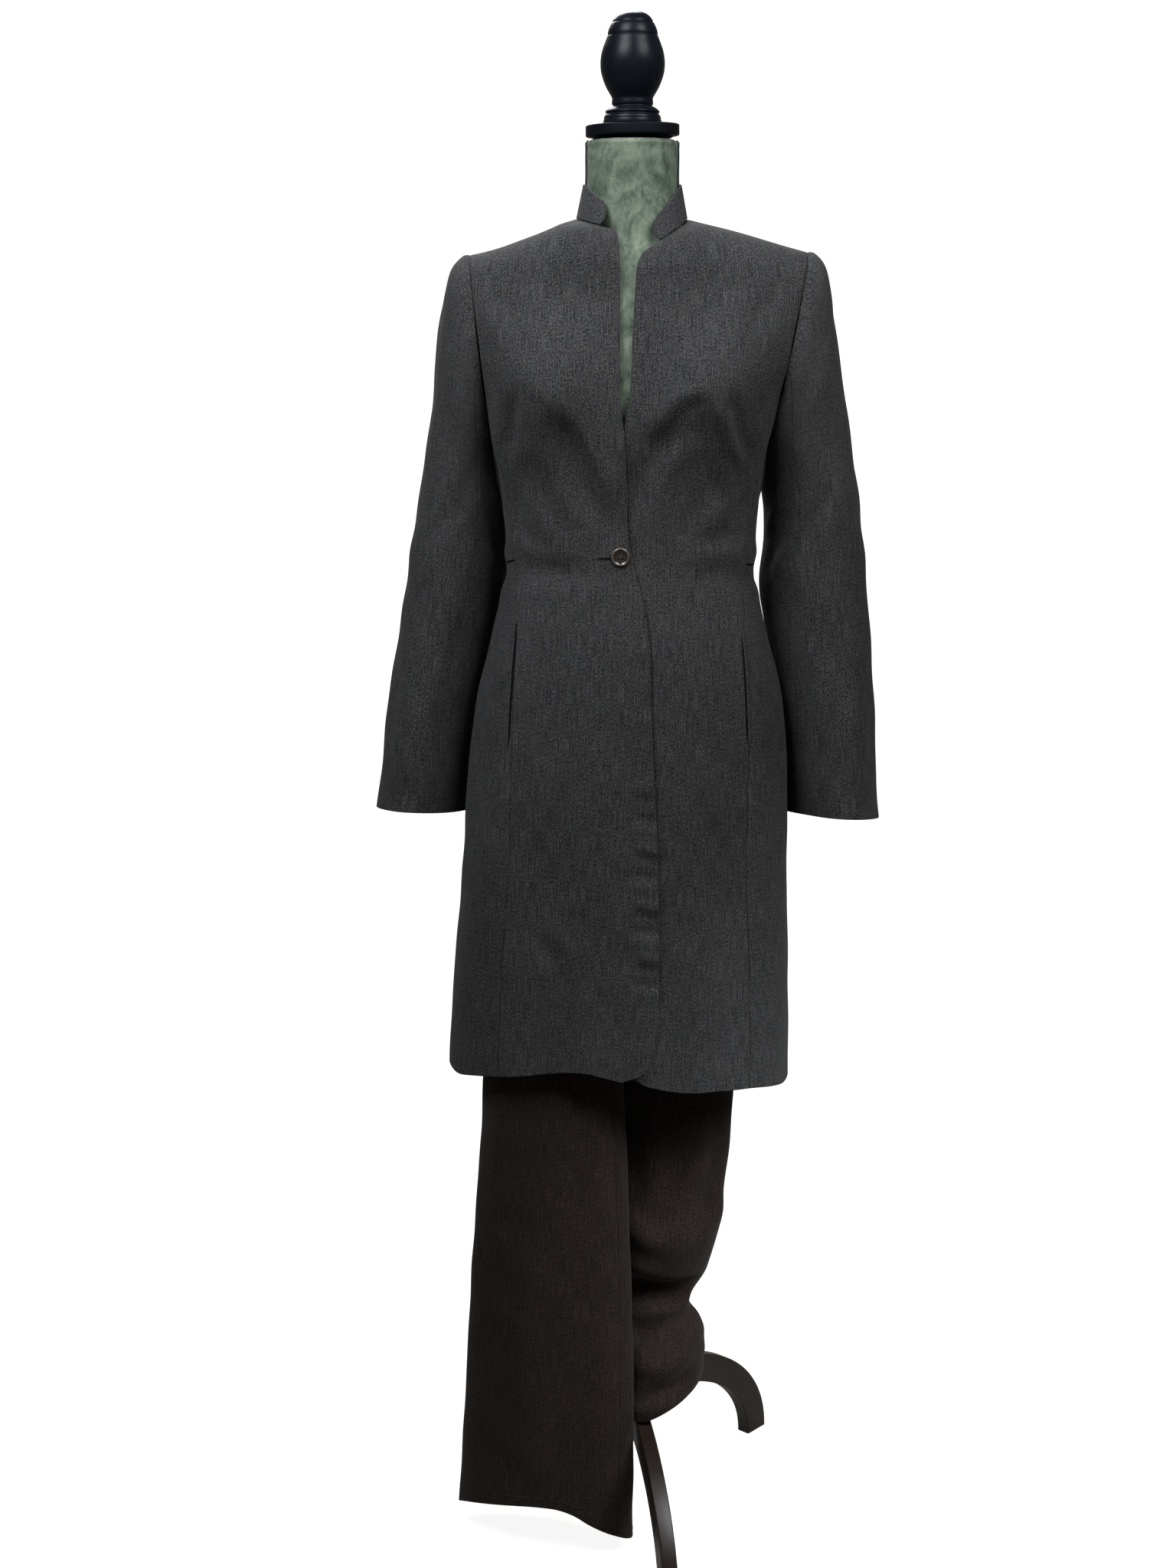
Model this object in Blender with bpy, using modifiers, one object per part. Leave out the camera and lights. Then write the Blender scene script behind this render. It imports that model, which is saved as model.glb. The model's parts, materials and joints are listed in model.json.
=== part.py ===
"""Two-piece women's suit, a long jacket and trousers, on a limbless dress form with a tripod stand.

Metres, +Z up. The wearer faces -Y, so the wearer's right is at -X.
Heights are above the floor. While the pieces are made, the stand's pole is at x = y = 0;
the last step moves the whole object so that the middle of its box stands on the origin.
"""
import math

import bmesh
import bpy
import numpy as np
from mathutils import Matrix, Vector

OBJECT_NAME = "suit_on_dress_form"

# ---- Cloth -----------------------------------------------------------------------------------
WALL = 0.0016            # thickness of every cloth wall
SEAM_TRIM = 0.00035      # each panel stops this far short of its seam line
ARMHOLE_TRIM = 0.0012    # a sleeve starts this far outside the armhole's edge
LAP_STEP = 0.0016        # the lapped front stands out, and the under front stands in, by this much
LAP_REACH = 0.050        # |x| up to which the two fronts keep that step
LAP_FADE = 0.045         # width over which the step fades out
LAP_TOP = 1.370          # height from which the step fades out towards the shoulders


def table(names, *rows):
    """A table with named columns: each name leads to an array with one value for every row."""
    columns = np.array(rows, dtype=float).T
    return dict(zip(names.split(), columns))


def smooth_at(places, values, at):
    """Smooth curve through (places, values), read at the given places.

    It is a cubic on each stretch, whose slope at a row is the mean of the slopes on its two sides.
    """
    order = np.argsort(places)
    p, v = places[order], values[order]
    chord = np.diff(v) / np.diff(p)
    slope = np.concatenate(([chord[0]], (chord[1:] + chord[:-1]) / 2, [chord[-1]]))
    i = np.clip(np.searchsorted(p, at) - 1, 0, len(p) - 2)
    width = p[i + 1] - p[i]
    t = np.clip((at - p[i]) / width, 0, 1)
    start = (1 + 2 * t) * (1 - t) ** 2 * v[i] + t * (1 - t) ** 2 * width * slope[i]
    end = t * t * (3 - 2 * t) * v[i + 1] + t * t * (t - 1) * width * slope[i + 1]
    return start + end


def fade(value, start, end):
    """0 at start, 1 at end, with level ends."""
    t = np.clip((value - start) / (end - start), 0, 1)
    return t * t * (3 - 2 * t)


# Jacket body: one level section for each row. left and right are half widths, front and back are
# depths from the pole's axis, and power is the superellipse's power (2 is an ellipse).
JACKET_SECTIONS = table(
    "height left right front back power",
    (1.460, 0.179, 0.186, 0.084, 0.096, 2.3),
    (1.410, 0.173, 0.179, 0.098, 0.102, 2.3),
    (1.355, 0.165, 0.167, 0.106, 0.101, 2.3),
    (1.305, 0.157, 0.155, 0.106, 0.097, 2.3),
    (1.250, 0.148, 0.146, 0.101, 0.089, 2.3),
    (1.170, 0.1405, 0.1400, 0.098, 0.081, 2.3),
    (1.110, 0.150, 0.147, 0.106, 0.094, 2.35),
    (1.050, 0.164, 0.163, 0.115, 0.110, 2.4),
    (0.950, 0.181, 0.177, 0.123, 0.128, 2.4),
    (0.860, 0.188, 0.179, 0.127, 0.131, 2.4),
    (0.700, 0.202, 0.186, 0.132, 0.134, 2.4),
    (0.550, 0.211, 0.189, 0.136, 0.138, 2.4),
)
# Each bust cup is a soft round rise of the front.
CUPS = table("x height rise", (-0.097, 1.352, 0.024), (0.081, 1.352, 0.024))
CUP_RADIUS_X = 0.046
CUP_RADIUS_Z = 0.055

# Armholes and sleeves: the outer and inner lines of each tube from the armhole to the cuff.
# The first row is the armhole itself: shoulder point, armpit, and its reach to the front and back.
RIGHT_SLEEVE = table(
    "outer_x outer_z inner_x inner_z front_y back_y",
    (-0.178, 1.499, -0.1565, 1.310, -0.058, 0.064),
    (-0.1965, 1.485, -0.1565, 1.295, -0.063, 0.069),
    (-0.209, 1.446, -0.157, 1.275, -0.066, 0.070),
    (-0.2155, 1.398, -0.158, 1.250, -0.066, 0.066),
    (-0.222, 1.340, -0.160, 1.222, -0.063, 0.059),
    (-0.232, 1.275, -0.163, 1.190, -0.060, 0.051),
    (-0.247, 1.182, -0.167, 1.130, -0.058, 0.041),
    (-0.263, 1.080, -0.175, 1.052, -0.061, 0.030),
    (-0.279, 0.978, -0.188, 0.965, -0.066, 0.017),
    (-0.2865, 0.912, -0.1945, 0.902, -0.068, 0.008),
    (-0.2925, 0.879, -0.1965, 0.866, -0.068, 0.004),
)
LEFT_SLEEVE = table(
    "outer_x outer_z inner_x inner_z front_y back_y",
    (0.193, 1.502, 0.1545, 1.310, -0.058, 0.064),
    (0.2105, 1.489, 0.1545, 1.295, -0.063, 0.069),
    (0.2215, 1.448, 0.154, 1.275, -0.066, 0.070),
    (0.2295, 1.398, 0.153, 1.250, -0.066, 0.066),
    (0.239, 1.340, 0.153, 1.222, -0.063, 0.059),
    (0.2495, 1.275, 0.153, 1.190, -0.060, 0.051),
    (0.2625, 1.182, 0.157, 1.130, -0.058, 0.041),
    (0.272, 1.080, 0.167, 1.052, -0.061, 0.030),
    (0.280, 0.978, 0.181, 0.965, -0.066, 0.017),
    (0.2845, 0.905, 0.1855, 0.895, -0.068, 0.008),
    (0.2875, 0.866, 0.1865, 0.866, -0.068, 0.004),
)
RING_STEPS = 20          # facets round a sleeve
SHOULDER_STEPS = 3       # of them, those between the shoulder seam and the chest section
ARMHOLE_STEPS = 7        # of them, those between the shoulder seam and the side panel's corner
SLEEVE_SEAM_STEP = 6     # of them, those between the sleeve's top line and each of its seams
SLEEVE_ROWS = 13

# Neckline: an ellipse round the neck, its height given at the sides, centre back and front corners.
NECK_HALF_WIDTH = 0.061
NECK_FRONT = 0.067
NECK_BACK = 0.063
NECK_SIDE_Z = 1.531
NECK_BACK_Z = 1.548
NECK_CORNER_Z = {"right": 1.525, "left": 1.504}

# Front edges, from the neckline's corner to the hem's rounded corner.
FRONT_EDGES = table(
    "height right left",
    (1.525, -0.0225, 0.018),
    (1.490, -0.0160, 0.006),
    (1.430, -0.0142, 0.000),
    (1.350, -0.0140, -0.004),
    (1.300, -0.0085, -0.013),
    (1.190, -0.0030, -0.020),
    (1.110, 0.0160, -0.024),
    (1.000, 0.0215, -0.026),
    (0.870, 0.0280, -0.028),
    (0.720, 0.0310, -0.029),
    (0.650, 0.0290, -0.027),
    (0.618, 0.0230, -0.021),
    (0.600, 0.0090, -0.007),
    (0.590, -0.0150, 0.017),
)
# Seams between front and side panels, and between side and back panels, as section angles.
PANEL_SEAMS = table(
    "height front back",
    (1.349, 72.0, 106.0),
    (1.250, 69.0, 111.0),
    (1.170, 64.0, 117.0),
    (1.100, 54.0, 122.0),
    (0.970, 45.0, 128.0),
    (0.550, 43.0, 132.0),
)
# The hem's height round the body; the angle is positive towards +X.
HEM = table(
    "angle height",
    (-180, 0.572), (-90, 0.577), (-55, 0.592), (-30, 0.594), (-12, 0.592), (0, 0.584),
    (12, 0.576), (30, 0.574), (60, 0.578), (90, 0.560), (180, 0.572),
)
HEM_ZONE_TOP = 0.72      # the level sections follow the hem's rise and fall below this height
BODY_HEIGHTS = (1.300, 1.250, 1.210, 1.170, 1.130, 1.090, 1.040, 0.980, 0.910, 0.840, 0.780)
HEM_ROWS = (0.0, 0.4, 0.75, 0.9, 1.0)
CHEST_Z = 1.460          # height of the section where the shoulders' roll ends
CORNER_Z = 1.349         # height of the side panel's upper corners
NECK_CORNER_ANGLE = math.radians(21.0)   # the neckline's front corners, from the centre front
FRONT_COLUMNS = 7
BACK_COLUMNS = 6

# Stand collar: it leans in from the neckline, and slopes down to its two front ends.
COLLAR_HEIGHT = 0.037
COLLAR_LEAN = 0.0075
COLLAR_END_DEG = {"right": -38.0, "left": 31.0}
COLLAR_END_DROP = 0.011
COLLAR_DROP_DEG = 50.0
COLLAR_COLUMNS = 22
COLLAR_LIFT = 0.0012     # clear of the panels' top edges

# Button on the lapped edge, at the waist.
BUTTON_X = -0.013
BUTTON_Z = 1.178
BUTTON_RADIUS = 0.0115
BUTTON_THICKNESS = 0.0035
BUTTON_STAND_OFF = 0.0018

# Trousers, waist to fork: outer is the half width, reach the half width of one leg's ellipse,
# which the centre seam cuts, and seam the centre seam's x. The pole hangs inside the left leg.
TROUSER_TOP = table(
    "height outer_right outer_left reach_right reach_left seam front back power",
    (1.068, 0.1405, 0.1420, 0.1405, 0.1420, 0.0000, 0.099, 0.093, 2.30),
    (1.000, 0.1650, 0.1635, 0.1650, 0.1635, 0.0000, 0.110, 0.110, 2.35),
    (0.950, 0.1725, 0.1690, 0.1695, 0.1690, -0.003, 0.114, 0.1195, 2.35),
    (0.870, 0.1750, 0.1700, 0.1600, 0.1640, -0.012, 0.113, 0.1195, 2.35),
    (0.850, 0.1750, 0.1700, 0.1280, 0.1460, -0.024, 0.110, 0.116, 2.2),
    (0.832, 0.1745, 0.1705, 0.0950, 0.1200, -0.031, 0.105, 0.111, 2.1),
    (0.818, 0.1740, 0.1710, 0.0705, 0.1025, -0.033, 0.101, 0.105, 2.0),
)
HIP_HEIGHTS = (1.066, 1.030, 0.990, 0.950, 0.910, 0.872, 0.854, 0.838, 0.826)
FORK_TRIM = 0.0006       # a leg's inner edge stops this far short of its seam
# Each leg below the fork: its ellipse's side points, middle, half depth and turn.
RIGHT_LEG = table(
    "height outer inner middle_y half_depth turn",
    (0.818, -0.1740, -0.0345, 0.000, 0.102, 0),
    (0.780, -0.1730, -0.0345, -0.012, 0.083, -2),
    (0.740, -0.1715, -0.0300, -0.030, 0.068, -4),
    (0.660, -0.1710, -0.0150, -0.044, 0.058, -6),
    (0.565, -0.1710, -0.0070, -0.052, 0.053, -8),
    (0.460, -0.1775, -0.0010, -0.058, 0.049, -10),
    (0.340, -0.1870, 0.0040, -0.064, 0.046, -13),
    (0.170, -0.1970, 0.0100, -0.074, 0.044, -18),
    (0.000, -0.2060, 0.0110, -0.078, 0.044, -21),
)
# A hem's turn runs from the outer seam over the front, in degrees.
RIGHT_LEG_HEM = table("turn height", (0, 0.030), (60, 0.040), (120, 0.034), (180, 0.016), (270, 0.024),
                      (360, 0.030))
LEFT_LEG = table(
    "height outer inner middle_y half_depth turn",
    (0.818, 0.1710, -0.0315, 0.000, 0.102, 0),
    (0.780, 0.1620, -0.0315, 0.007, 0.083, 0),
    (0.740, 0.1540, -0.0320, 0.014, 0.072, 0),
    (0.660, 0.1400, -0.0330, 0.021, 0.061, 0),
    (0.550, 0.1245, -0.0330, 0.024, 0.053, 0),
    (0.430, 0.1130, -0.0320, 0.021, 0.050, 2),
    (0.350, 0.1000, -0.0300, 0.015, 0.049, 4),
    (0.287, 0.0765, -0.0270, 0.006, 0.050, 6),
    (0.235, 0.0905, -0.0250, -0.010, 0.066, 9),
    (0.200, 0.0875, -0.0210, -0.022, 0.078, 10),
    (0.150, 0.0790, -0.0190, -0.027, 0.083, 10),
)
RIGHT_LEG_HEIGHTS = (0.810, 0.790, 0.760, 0.710, 0.640, 0.550, 0.450, 0.350, 0.250, 0.150, 0.085)
LEFT_LEG_HEIGHTS = (0.810, 0.790, 0.760, 0.710, 0.640, 0.550, 0.450, 0.380, 0.330, 0.287, 0.260, 0.235,
                    0.205)
# The left leg's hem hangs just clear of the stand's front leg.
LEFT_LEG_HEM = table("turn height", (0, 0.182), (90, 0.160), (180, 0.176), (270, 0.178), (360, 0.182))
LEG_COLUMNS = 7
WAISTBAND_TOP = 1.104
WAISTBAND_COLUMNS = 22
WAISTBAND_EASE = 0.0045  # clear of the form, outside to outside
WAISTBAND_GAP_DEG = 0.4

# ---- Dress form ------------------------------------------------------------------------------
FORM_SECTIONS = table(
    "height half_width front back power",
    (1.6205, 0.0450, 0.0450, 0.0450, 2.0),
    (1.6190, 0.0480, 0.0480, 0.0480, 2.0),
    (1.6120, 0.0488, 0.0485, 0.0485, 2.0),
    (1.5800, 0.0490, 0.0485, 0.0490, 2.0),
    (1.5500, 0.0505, 0.0500, 0.0510, 2.0),
    (1.5350, 0.0530, 0.0515, 0.0530, 1.9),
    (1.5200, 0.0640, 0.0530, 0.0560, 1.45),
    (1.5040, 0.1000, 0.0570, 0.0620, 1.45),
    (1.4860, 0.1340, 0.0640, 0.0720, 1.8),
    (1.4600, 0.1530, 0.0750, 0.0820, 2.1),
    (1.4100, 0.1560, 0.0900, 0.0900, 2.3),
    (1.3550, 0.1500, 0.0980, 0.0900, 2.3),
    (1.3050, 0.1420, 0.0970, 0.0860, 2.3),
    (1.2400, 0.1280, 0.0880, 0.0760, 2.3),
    (1.1700, 0.1180, 0.0820, 0.0680, 2.3),
    (1.1000, 0.1280, 0.0900, 0.0790, 2.3),
    (1.0300, 0.1490, 0.0995, 0.0960, 2.3),
    (0.9500, 0.1630, 0.1060, 0.1110, 2.3),
    (0.9000, 0.1630, 0.1030, 0.1090, 2.3),
    (0.8780, 0.1590, 0.0990, 0.1040, 2.3),
)
FORM_CUP_SHARE = 0.72    # the form's bust rises by this share of the jacket's cups
FORM_COLUMNS = 28
FORM_EXTRA_HEIGHTS = (1.43, 1.385, 1.33, 1.28, 1.205, 1.135, 1.065, 0.99)
FORM_BASE_THICKNESS = 0.009
FORM_BASE_INSET = 0.012
CONTACT_GAP = 0.0003     # touching pieces keep this gap

# Turned finial, from its crown to its foot, and the round cap on the neck.
FINIAL = table(
    "radius height",
    (0.0000, 1.7540), (0.0095, 1.7533), (0.0175, 1.7493), (0.0218, 1.7430), (0.0204, 1.7412),
    (0.0258, 1.7385), (0.0277, 1.7330), (0.0262, 1.7290), (0.0300, 1.7225), (0.0333, 1.7130),
    (0.0345, 1.7015), (0.0333, 1.6900), (0.0296, 1.6785), (0.0246, 1.6690), (0.0210, 1.6635),
    (0.0226, 1.6610), (0.0226, 1.6580), (0.0215, 1.6568), (0.0262, 1.6535), (0.0296, 1.6500),
    (0.0288, 1.6480), (0.0302, 1.6455), (0.0314, 1.6400), (0.0314, 1.6378), (0.0000, 1.6378),
)
CAP_RADIUS = 0.051
CAP_TOP = 1.6363
CAP_THICKNESS = 0.0118
CAP_FOOT_RADIUS = 0.0435
CAP_FOOT = 0.0022
CAP_TILT_DEG = 1.1
TURNED_STEPS = 28

# ---- Stand -----------------------------------------------------------------------------------
POLE_RADIUS = 0.0125
HUB_RADIUS = 0.030
HUB_TOP = 0.168
HUB_BOTTOM = 0.085
LEG_AZIMUTHS_DEG = {"front": -80.0, "rear_left": 48.0, "rear_right": 140.0}
LEG_ROOT = 0.0305        # distance from the pole's axis to a leg's end on the hub
LEG_SPAN = 0.237         # reach of a leg's top edge from its root
LEG_TOP = 0.165          # height of a leg's top edge at the hub
LEG_DEPTH = 0.036        # depth of the board, from its top edge to its lower edge
LEG_THICKNESS = 0.018
LEG_ARC_STEPS = 12

# ---- Colours: base colour, roughness, metallic -------------------------------------------------
FINISHES = {
    "wool_jacket": ((0.048, 0.047, 0.046), 0.85, 0.0),
    "wool_trousers": ((0.024, 0.020, 0.017), 0.85, 0.0),
    "velvet": ((0.105, 0.160, 0.105), 0.75, 0.0),
    "lacquer": ((0.008, 0.008, 0.010), 0.32, 0.0),
    "dark_wood": ((0.022, 0.012, 0.008), 0.42, 0.0),
    "steel": ((0.020, 0.020, 0.021), 0.35, 0.9),
    "horn": ((0.060, 0.040, 0.030), 0.30, 0.0),
}


# ---- Scene and mesh helpers --------------------------------------------------------------------
def clear_scene():
    for old in list(bpy.data.objects):
        bpy.data.objects.remove(old, do_unlink=True)


def make_collection():
    collection = bpy.data.collections.new(OBJECT_NAME)
    bpy.context.scene.collection.children.link(collection)
    return collection


def material_for(finish):
    """The Principled material of a finish, made at its first use."""
    found = bpy.data.materials.get(finish)
    if found:
        return found
    color, roughness, metallic = FINISHES[finish]
    made = bpy.data.materials.new(finish)
    made.use_nodes = True
    shader = made.node_tree.nodes["Principled BSDF"]
    shader.inputs["Base Color"].default_value = (*color, 1.0)
    shader.inputs["Roughness"].default_value = roughness
    shader.inputs["Metallic"].default_value = metallic
    return made


def add_object(name, mesh, finish, collection):
    """A named object in the collection, with its own copy of the finish's material."""
    own = material_for(finish).copy()
    own.name = name + "_" + finish
    mesh.materials.append(own)
    made = bpy.data.objects.new(name, mesh)
    collection.objects.link(made)
    return made


def mesh_from_bmesh(name, shape):
    mesh = bpy.data.meshes.new(name)
    shape.to_mesh(mesh)
    shape.free()
    return mesh


def shade_round(mesh, angle_deg=40.0):
    mesh.shade_smooth()
    mesh.set_sharp_from_angle(angle=math.radians(angle_deg))


def flat_outline(name, points, thickness):
    """A closed flat outline as a filled curve of this thickness."""
    outline = bpy.data.curves.new(name, "CURVE")
    outline.dimensions = "2D"
    outline.fill_mode = "BOTH"
    outline.extrude = thickness / 2
    spline = outline.splines.new("POLY")
    spline.points.add(len(points) - 1)
    for point, (x, y) in zip(spline.points, points):
        point.co = (x, y, 0.0, 1.0)
    spline.use_cyclic_u = True
    return outline


# ---- Cloth panels ------------------------------------------------------------------------------
def beyond(line, neighbour):
    """The line that carries a grid on past its edge, at the same pitch."""
    return 2 * line - neighbour


def framed(grid, first=None, last=None):
    """The grid with one more line past each edge.

    Where the next panel carries the surface on, its first line is given; elsewhere it runs straight on.
    """
    first = beyond(grid[:, 0], grid[:, 1]) if first is None else first
    last = beyond(grid[:, -1], grid[:, -2]) if last is None else last
    wide = np.concatenate((first[:, None], grid, last[:, None]), axis=1)
    top, bottom = beyond(wide[0], wide[1]), beyond(wide[-1], wide[-2])
    return np.concatenate((top[None], wide, bottom[None]))


def outward_normals(frame, inside):
    """Unit normals of a framed grid, pointing away from the line of points given as its inside."""
    across = frame[1:-1, 2:] - frame[1:-1, :-2]
    down = frame[2:, 1:-1] - frame[:-2, 1:-1]
    normal = np.cross(down, across)
    normal /= np.linalg.norm(normal, axis=-1, keepdims=True)
    middle = (normal.shape[0] // 2, normal.shape[1] // 2)
    away = frame[1:-1, 1:-1][middle] - np.array(inside)
    return normal if np.dot(normal[middle], away) > 0 else -normal


def trimmed(grid, first, last, top, bottom):
    """The grid with its outer lines drawn in towards their neighbours by the given lengths."""
    cut = grid.copy()
    edges = ((0, 1, first, 1), (-1, -2, last, 1), (0, 1, top, 0), (-1, -2, bottom, 0))
    for line, neighbour, length, axis in edges:
        here = np.take(grid, line, axis=axis)
        step = np.take(grid, neighbour, axis=axis) - here
        step *= length / np.maximum(np.linalg.norm(step, axis=-1, keepdims=True), 1e-9)
        if axis == 1:
            cut[:, line] += step
        else:
            cut[line] += step
    return cut


def cloth_panel(name, frame, finish, collection, inside, trim=(0.0, 0.0, 0.0, 0.0), shared=()):
    """A closed wall of cloth, lofted through the sections of a framed grid.

    The grid is the wall's outside. Its inside lies one wall's thickness in along normals that the
    frame shares with the next panel, so the edges of two panels face each other squarely. Where
    the neighbour's grid differs, the shared normals are given with their rows and columns.
    """
    normal = outward_normals(frame, inside)
    for rows, columns, given in shared:
        normal[rows, columns] = given
    outside = frame[1:-1, 1:-1]
    within = trimmed(outside - WALL * normal, *trim)
    outside = trimmed(outside, *trim)
    rows, columns = outside.shape[:2]
    number = np.arange(rows * columns).reshape(rows, columns)
    face = np.stack((number[:-1, :-1], number[:-1, 1:], number[1:, 1:], number[1:, :-1]), axis=-1)
    rim = np.concatenate((number[0, :-1], number[:-1, -1], number[-1, :0:-1], number[:0:-1, 0]))
    back = rows * columns
    sides = np.stack((rim, np.roll(rim, -1), np.roll(rim, -1) + back, rim + back), axis=-1)
    faces = np.concatenate((face.reshape(-1, 4), face.reshape(-1, 4)[:, ::-1] + back, sides[:, ::-1]))
    mesh = bpy.data.meshes.new(name)
    points = np.concatenate((outside.reshape(-1, 3), within.reshape(-1, 3)))
    mesh.from_pydata(points.tolist(), [], faces.tolist())
    shape = bmesh.new()
    shape.from_mesh(mesh)
    bmesh.ops.recalc_face_normals(shape, faces=shape.faces)
    shape.to_mesh(mesh)
    shape.free()
    shade_round(mesh)
    return add_object(name, mesh, finish, collection)


# ---- Jacket body -------------------------------------------------------------------------------
def superellipse(angle, left, right, front, back, power):
    """Level outline: the angle runs from the centre front, positive to +X; power 2 is an ellipse."""
    across, along = np.sin(angle), np.cos(angle)
    x = np.sign(across) * np.abs(across) ** (2 / power) * np.where(across > 0, right, left)
    y = -np.sign(along) * np.abs(along) ** (2 / power) * np.where(along > 0, front, back)
    return x, y


def cup_rise(x, height, share=1.0):
    """How far the bust cups stand out at a place on the front."""
    rise = np.zeros(np.broadcast(x, height).shape)
    for cup_x, cup_z, cup in zip(CUPS["x"], CUPS["height"], CUPS["rise"]):
        away = ((x - cup_x) / CUP_RADIUS_X) ** 2 + ((height - cup_z) / CUP_RADIUS_Z) ** 2
        rise = rise + share * cup * np.exp(-away)
    return rise


def jacket_point(height, angle):
    """Point of the jacket's outside at a height and a section angle."""
    height, angle = np.broadcast_arrays(np.asarray(height, float), np.asarray(angle, float))
    read = {name: smooth_at(JACKET_SECTIONS["height"], values, height)
            for name, values in JACKET_SECTIONS.items() if name != "height"}
    x, y = superellipse(angle, read["left"], read["right"], read["front"], read["back"], read["power"])
    y = y - np.where(np.cos(angle) > 0, cup_rise(x, height), 0.0)
    return np.stack((x, y, height), axis=-1)


def angle_of_x(height, x):
    """Section angle, on the front, of the point at this x."""
    half = np.where(x > 0, smooth_at(JACKET_SECTIONS["height"], JACKET_SECTIONS["right"], height),
                    smooth_at(JACKET_SECTIONS["height"], JACKET_SECTIONS["left"], height))
    power = smooth_at(JACKET_SECTIONS["height"], JACKET_SECTIONS["power"], height)
    return np.sign(x) * np.arcsin(np.clip(np.abs(x) / half, 0, 1) ** (power / 2))


def lap(grid, side):
    """The grid's front moved out on the lapped side, and in on the under side, near the middle."""
    step = LAP_STEP * (1 - fade(np.abs(grid[..., 0]), LAP_REACH, LAP_REACH + LAP_FADE))
    step *= 1 - fade(grid[..., 2], LAP_TOP, CHEST_Z)
    moved = grid.copy()
    moved[..., 1] += -step if side == "right" else step
    return moved


def armhole_point(side, theta):
    """Point of the armhole: theta is 0 at the shoulder point, positive to the front, pi at the armpit."""
    return sleeve_point(side, np.zeros_like(theta), theta)


def sleeve_point(side, ring, theta):
    """Point of a sleeve: ring runs along the table's rows, theta round the tube.

    Each ring passes through four points: outer (theta 0), front, inner (pi) and back.
    """
    rails = RIGHT_SLEEVE if side == "right" else LEFT_SLEEVE
    ring, theta = np.broadcast_arrays(np.asarray(ring, float), np.asarray(theta, float))
    index = np.arange(len(rails["outer_x"]), dtype=float)
    read = {name: smooth_at(index, values, ring) for name, values in rails.items()}
    c, s = np.cos(theta), np.sin(theta)
    x = (read["outer_x"] + read["inner_x"]) / 2 + c * (read["outer_x"] - read["inner_x"]) / 2
    z = (read["outer_z"] + read["inner_z"]) / 2 + c * (read["outer_z"] - read["inner_z"]) / 2
    y = s * (read["front_y"] - read["back_y"]) / 2 + s * s * (read["front_y"] + read["back_y"]) / 2
    return np.stack((x, y, z), axis=-1)


def shoulder_point(side):
    rails = RIGHT_SLEEVE if side == "right" else LEFT_SLEEVE
    return np.array((rails["outer_x"][0], 0.0, rails["outer_z"][0]))


def neckline_point(angle):
    """Point of the neckline at an angle from the front, positive to +X."""
    angle = np.asarray(angle, float)
    x, y = superellipse(angle, NECK_HALF_WIDTH, NECK_HALF_WIDTH, NECK_FRONT, NECK_BACK, 2.0)
    back = fade(np.abs(angle), math.pi / 2, math.pi)
    corner = np.where(angle > 0, NECK_CORNER_Z["left"], NECK_CORNER_Z["right"])
    front = np.clip((math.pi / 2 - np.abs(angle)) / (math.pi / 2 - NECK_CORNER_ANGLE), 0, 1) ** 1.5
    z = NECK_SIDE_Z + (NECK_BACK_Z - NECK_SIDE_Z) * back + (corner - NECK_SIDE_Z) * front
    return np.stack((x, y, z), axis=-1)


def neck_columns(columns):
    """Columns of a body panel that end in the neckline; the rest end in the shoulder seam."""
    return round(columns * 0.4)


def shoulder_seam(side, columns):
    """Row and columns of the shoulder seam and the normal that front and back share along it."""
    run = shoulder_point(side) - neckline_point(math.copysign(math.pi / 2, shoulder_point(side)[0]))
    normal = np.array((-run[2], 0.0, run[0])) * math.copysign(1.0, run[0])
    return 0, slice(neck_columns(columns), None), normal / np.linalg.norm(normal)


def side_seam(side, which, frame, start, column):
    """Normals of the jacket along a side panel's seam, with the frame's rows and column they are for."""
    height = frame[start + 1:-1, 1:-1][:, column, 2]
    angle = np.array([seam_angle(side, which, max(float(z), HEM_ZONE_TOP)) for z in height])
    down = jacket_point(height - 0.001, angle) - jacket_point(height + 0.001, angle)
    across = jacket_point(height, angle + 0.01) - jacket_point(height, angle - 0.01)
    normal = np.cross(across, down)
    normal /= np.linalg.norm(normal, axis=-1, keepdims=True)
    return slice(start, None), column, normal * math.copysign(1.0, normal[0, 0] * frame[2, 1, 0])


def top_edge(side, start_angle, columns):
    """Neckline from the start angle to the neck's side, then the shoulder seam to the shoulder point."""
    sign = -1.0 if side == "right" else 1.0
    on_neck = neck_columns(columns)
    neck = neckline_point(sign * np.linspace(start_angle, math.pi / 2, on_neck + 1))
    share = np.linspace(0, 1, columns - on_neck + 1)[1:, None]
    seam = neck[-1] + (shoulder_point(side) - neck[-1]) * share
    return np.concatenate((neck, seam))


def arm_angle(step):
    """Angle round the armhole and the sleeve after a number of steps."""
    return step * 2 * math.pi / RING_STEPS


def towards(row, end):
    """The row bent so that its last point is the end."""
    return row + (end - row[-1]) * np.linspace(0, 1, len(row))[:, None] ** 2


def shoulder_roll(top, chest, side, turn_sign):
    """Rows from the top edge over to the chest section, as quarter ellipses that end in the armhole."""
    rows = []
    for step in range(SHOULDER_STEPS):
        turn = step / SHOULDER_STEPS * math.pi / 2
        row = top + (chest - top) * math.sin(turn)
        row[:, 2] = top[:, 2] + (chest[:, 2] - top[:, 2]) * (1 - math.cos(turn))
        rows.append(towards(row, armhole_point(side, turn_sign * arm_angle(step))))
    return rows


def seam_angle(side, which, height):
    """Section angle of a side panel's front or back seam, with the side's sign."""
    sign = -1.0 if side == "right" else 1.0
    return sign * math.radians(float(smooth_at(PANEL_SEAMS["height"], PANEL_SEAMS[which], height)))


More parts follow.
